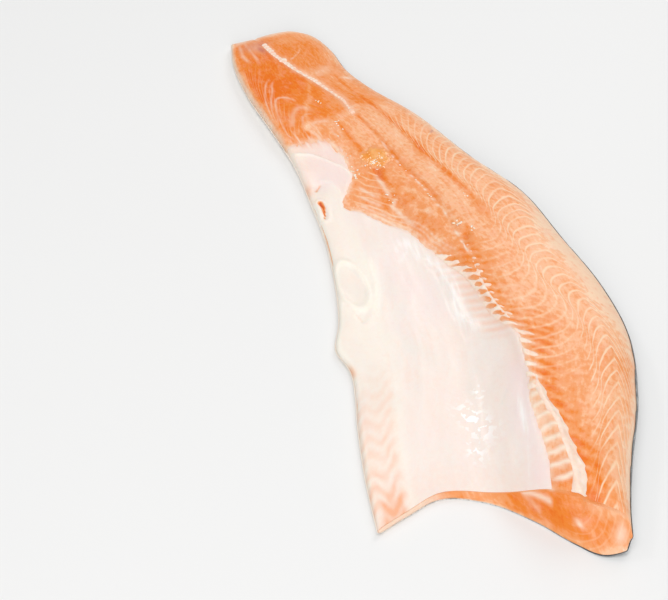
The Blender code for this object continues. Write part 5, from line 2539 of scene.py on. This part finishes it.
@dataclass(frozen=True)
class Studio:
    """A plain pale floor, soft light and the camera."""

    floor_size: float = 6.0
    floor_colour: Colour = (0.84, 0.84, 0.835)
    camera_place: Triple = (0.5262, -0.2800, 0.6573)
    camera_aim: Triple = (0.0198, -0.0616, 0.0)
    lens: float = 65.0
    sky: float = 0.30
    lights: tuple[tuple[str, Triple, float, float], ...] = (
        ("key", (0.22, -0.33, 2.3), 1.8, 28.5), ("front", (1.6, -0.6, 0.75), 1.0, 12.0),
        ("back", (-0.9, 1.2, 1.3), 1.0, 10.0), ("sparkle", (-0.75, -0.5, 0.95), 0.16, 1.2))

    def build_floor(self) -> None:
        """Make the floor at the height the fillet rests on."""
        low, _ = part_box(NODE)
        half = self.floor_size / 2
        mesh = bpy.data.meshes.new("floor")
        z = low.z - 0.0002
        corners = [(-half, -half, z), (half, -half, z), (half, half, z), (-half, half, z)]
        mesh.from_pydata(corners, [], [(0, 1, 2, 3)])
        floor = linked("floor", mesh)
        material = bpy.data.materials.new("floor")
        material.use_nodes = True
        bench = Bench(material.node_tree)
        shader = material.node_tree.nodes["Principled BSDF"]
        cloud = bench.noise(bench.node("ShaderNodeTexCoord").outputs["Object"], 3.0)
        colour = bench.mix(cloud, self.floor_colour, tuple(0.985 * c for c in self.floor_colour))
        bench.feed(shader.inputs["Base Color"], colour)
        shader.inputs["Roughness"].default_value = 0.6
        mesh.materials.append(material)

    def build_light(self, name: str, place: Triple, size: float, power: float) -> None:
        """Make one square soft light aimed at the fillet.

        Args:
            name: The light's name.
            place: Where it hangs, in metres.
            size: The length of its side.
            power: Its power in watts.
        """
        light = bpy.data.lights.new(name, "AREA")
        light.size = size
        light.energy = power
        item = linked(name, light)
        item.location = place
        item.rotation_mode = "QUATERNION"
        item.rotation_quaternion = Vector(place).to_track_quat("Z", "Y")

    def build_camera(self) -> None:
        """Make the camera."""
        data = bpy.data.cameras.new("camera")
        data.lens = self.lens
        data.sensor_width = 36.0
        data.clip_start = 0.02
        camera = linked("camera", data)
        camera.location = self.camera_place
        look = Vector(self.camera_aim) - Vector(self.camera_place)
        camera.rotation_mode = "QUATERNION"
        camera.rotation_quaternion = look.to_track_quat("-Z", "Y")
        bpy.context.scene.camera = camera

    def build(self) -> None:
        """Make the whole studio."""
        self.build_floor()
        for light in self.lights:
            self.build_light(*light)
        world = bpy.data.worlds.new("room")
        world.use_nodes = True
        background = world.node_tree.nodes["Background"]
        background.inputs["Color"].default_value = (1.0, 1.0, 1.0, 1.0)
        background.inputs["Strength"].default_value = self.sky
        bpy.context.scene.world = world
        bpy.context.scene.view_settings.view_transform = "Standard"
        self.build_camera()


def main() -> None:
    """Build the fillet's pieces and the studio."""
    logging.basicConfig(level=logging.INFO, format="%(name)s: %(message)s")
    effects, form = Effects.build(), FleshForm()
    flesh = FleshFinish("flesh", roughness=0.45, spread=0.3, specular=0.25, under_light=0.08, bump=0.42,
                        coat=0.10, coat_roughness=0.16)
    skin = SkinFinish("skin", roughness=0.34, spread=0.25, specular=0.6, under_light=0.0, bump=0.5,
                      coat=0.3, coat_roughness=0.12)
    lining = LiningFinish("lining", roughness=0.42, spread=0.3, specular=0.3, under_light=0.08, bump=0.3,
                          coat=0.15, coat_roughness=0.14)
    tissue = TissueFinish("tissue", roughness=0.4, spread=0.25, specular=0.3, under_light=0.1, bump=0.3,
                          coat=0.15, coat_roughness=0.14)
    fat = TissueFinish("fat", roughness=0.25, spread=0.1, specular=0.4, under_light=0.1, bump=0.2,
                       coat=0.5, coat_roughness=0.08, light=(0.94, 0.47, 0.17), dark=(0.885, 0.29, 0.03),
                       warm=(0.88, 0.355, 0.145))
    # The drops' near-white colours are painted highlight: they stand in for the glints of wet fat beads.
    painted_glint_drops = TissueFinish("painted_glint_drops", roughness=0.2, spread=0.1, specular=0.4, under_light=0.2, bump=0.1,
                         coat=0.5, coat_roughness=0.05, light=(0.99, 0.93, 0.86), dark=(0.97, 0.78, 0.62),
                         warm=(0.96, 0.66, 0.42))
    for finish, kinds in ((flesh, (Flesh,)), (skin, (Skin,)), (lining, (BellyLining,)),
                          (tissue, (RibEnds, RibRidge, TailSeptum)), (fat, (Jelly,)), (painted_glint_drops, (Beads,))):
        material = finish.build(effects)
        for kind in kinds:
            piece = kind(form, material).build()
            triangles = sum(len(face.vertices) - 2 for face in piece.data.polygons)
            LOG.info("%s: %d triangles, finish %s", piece.name, triangles, finish.name)
    Studio().build()


if __name__ == "__main__":
    main()
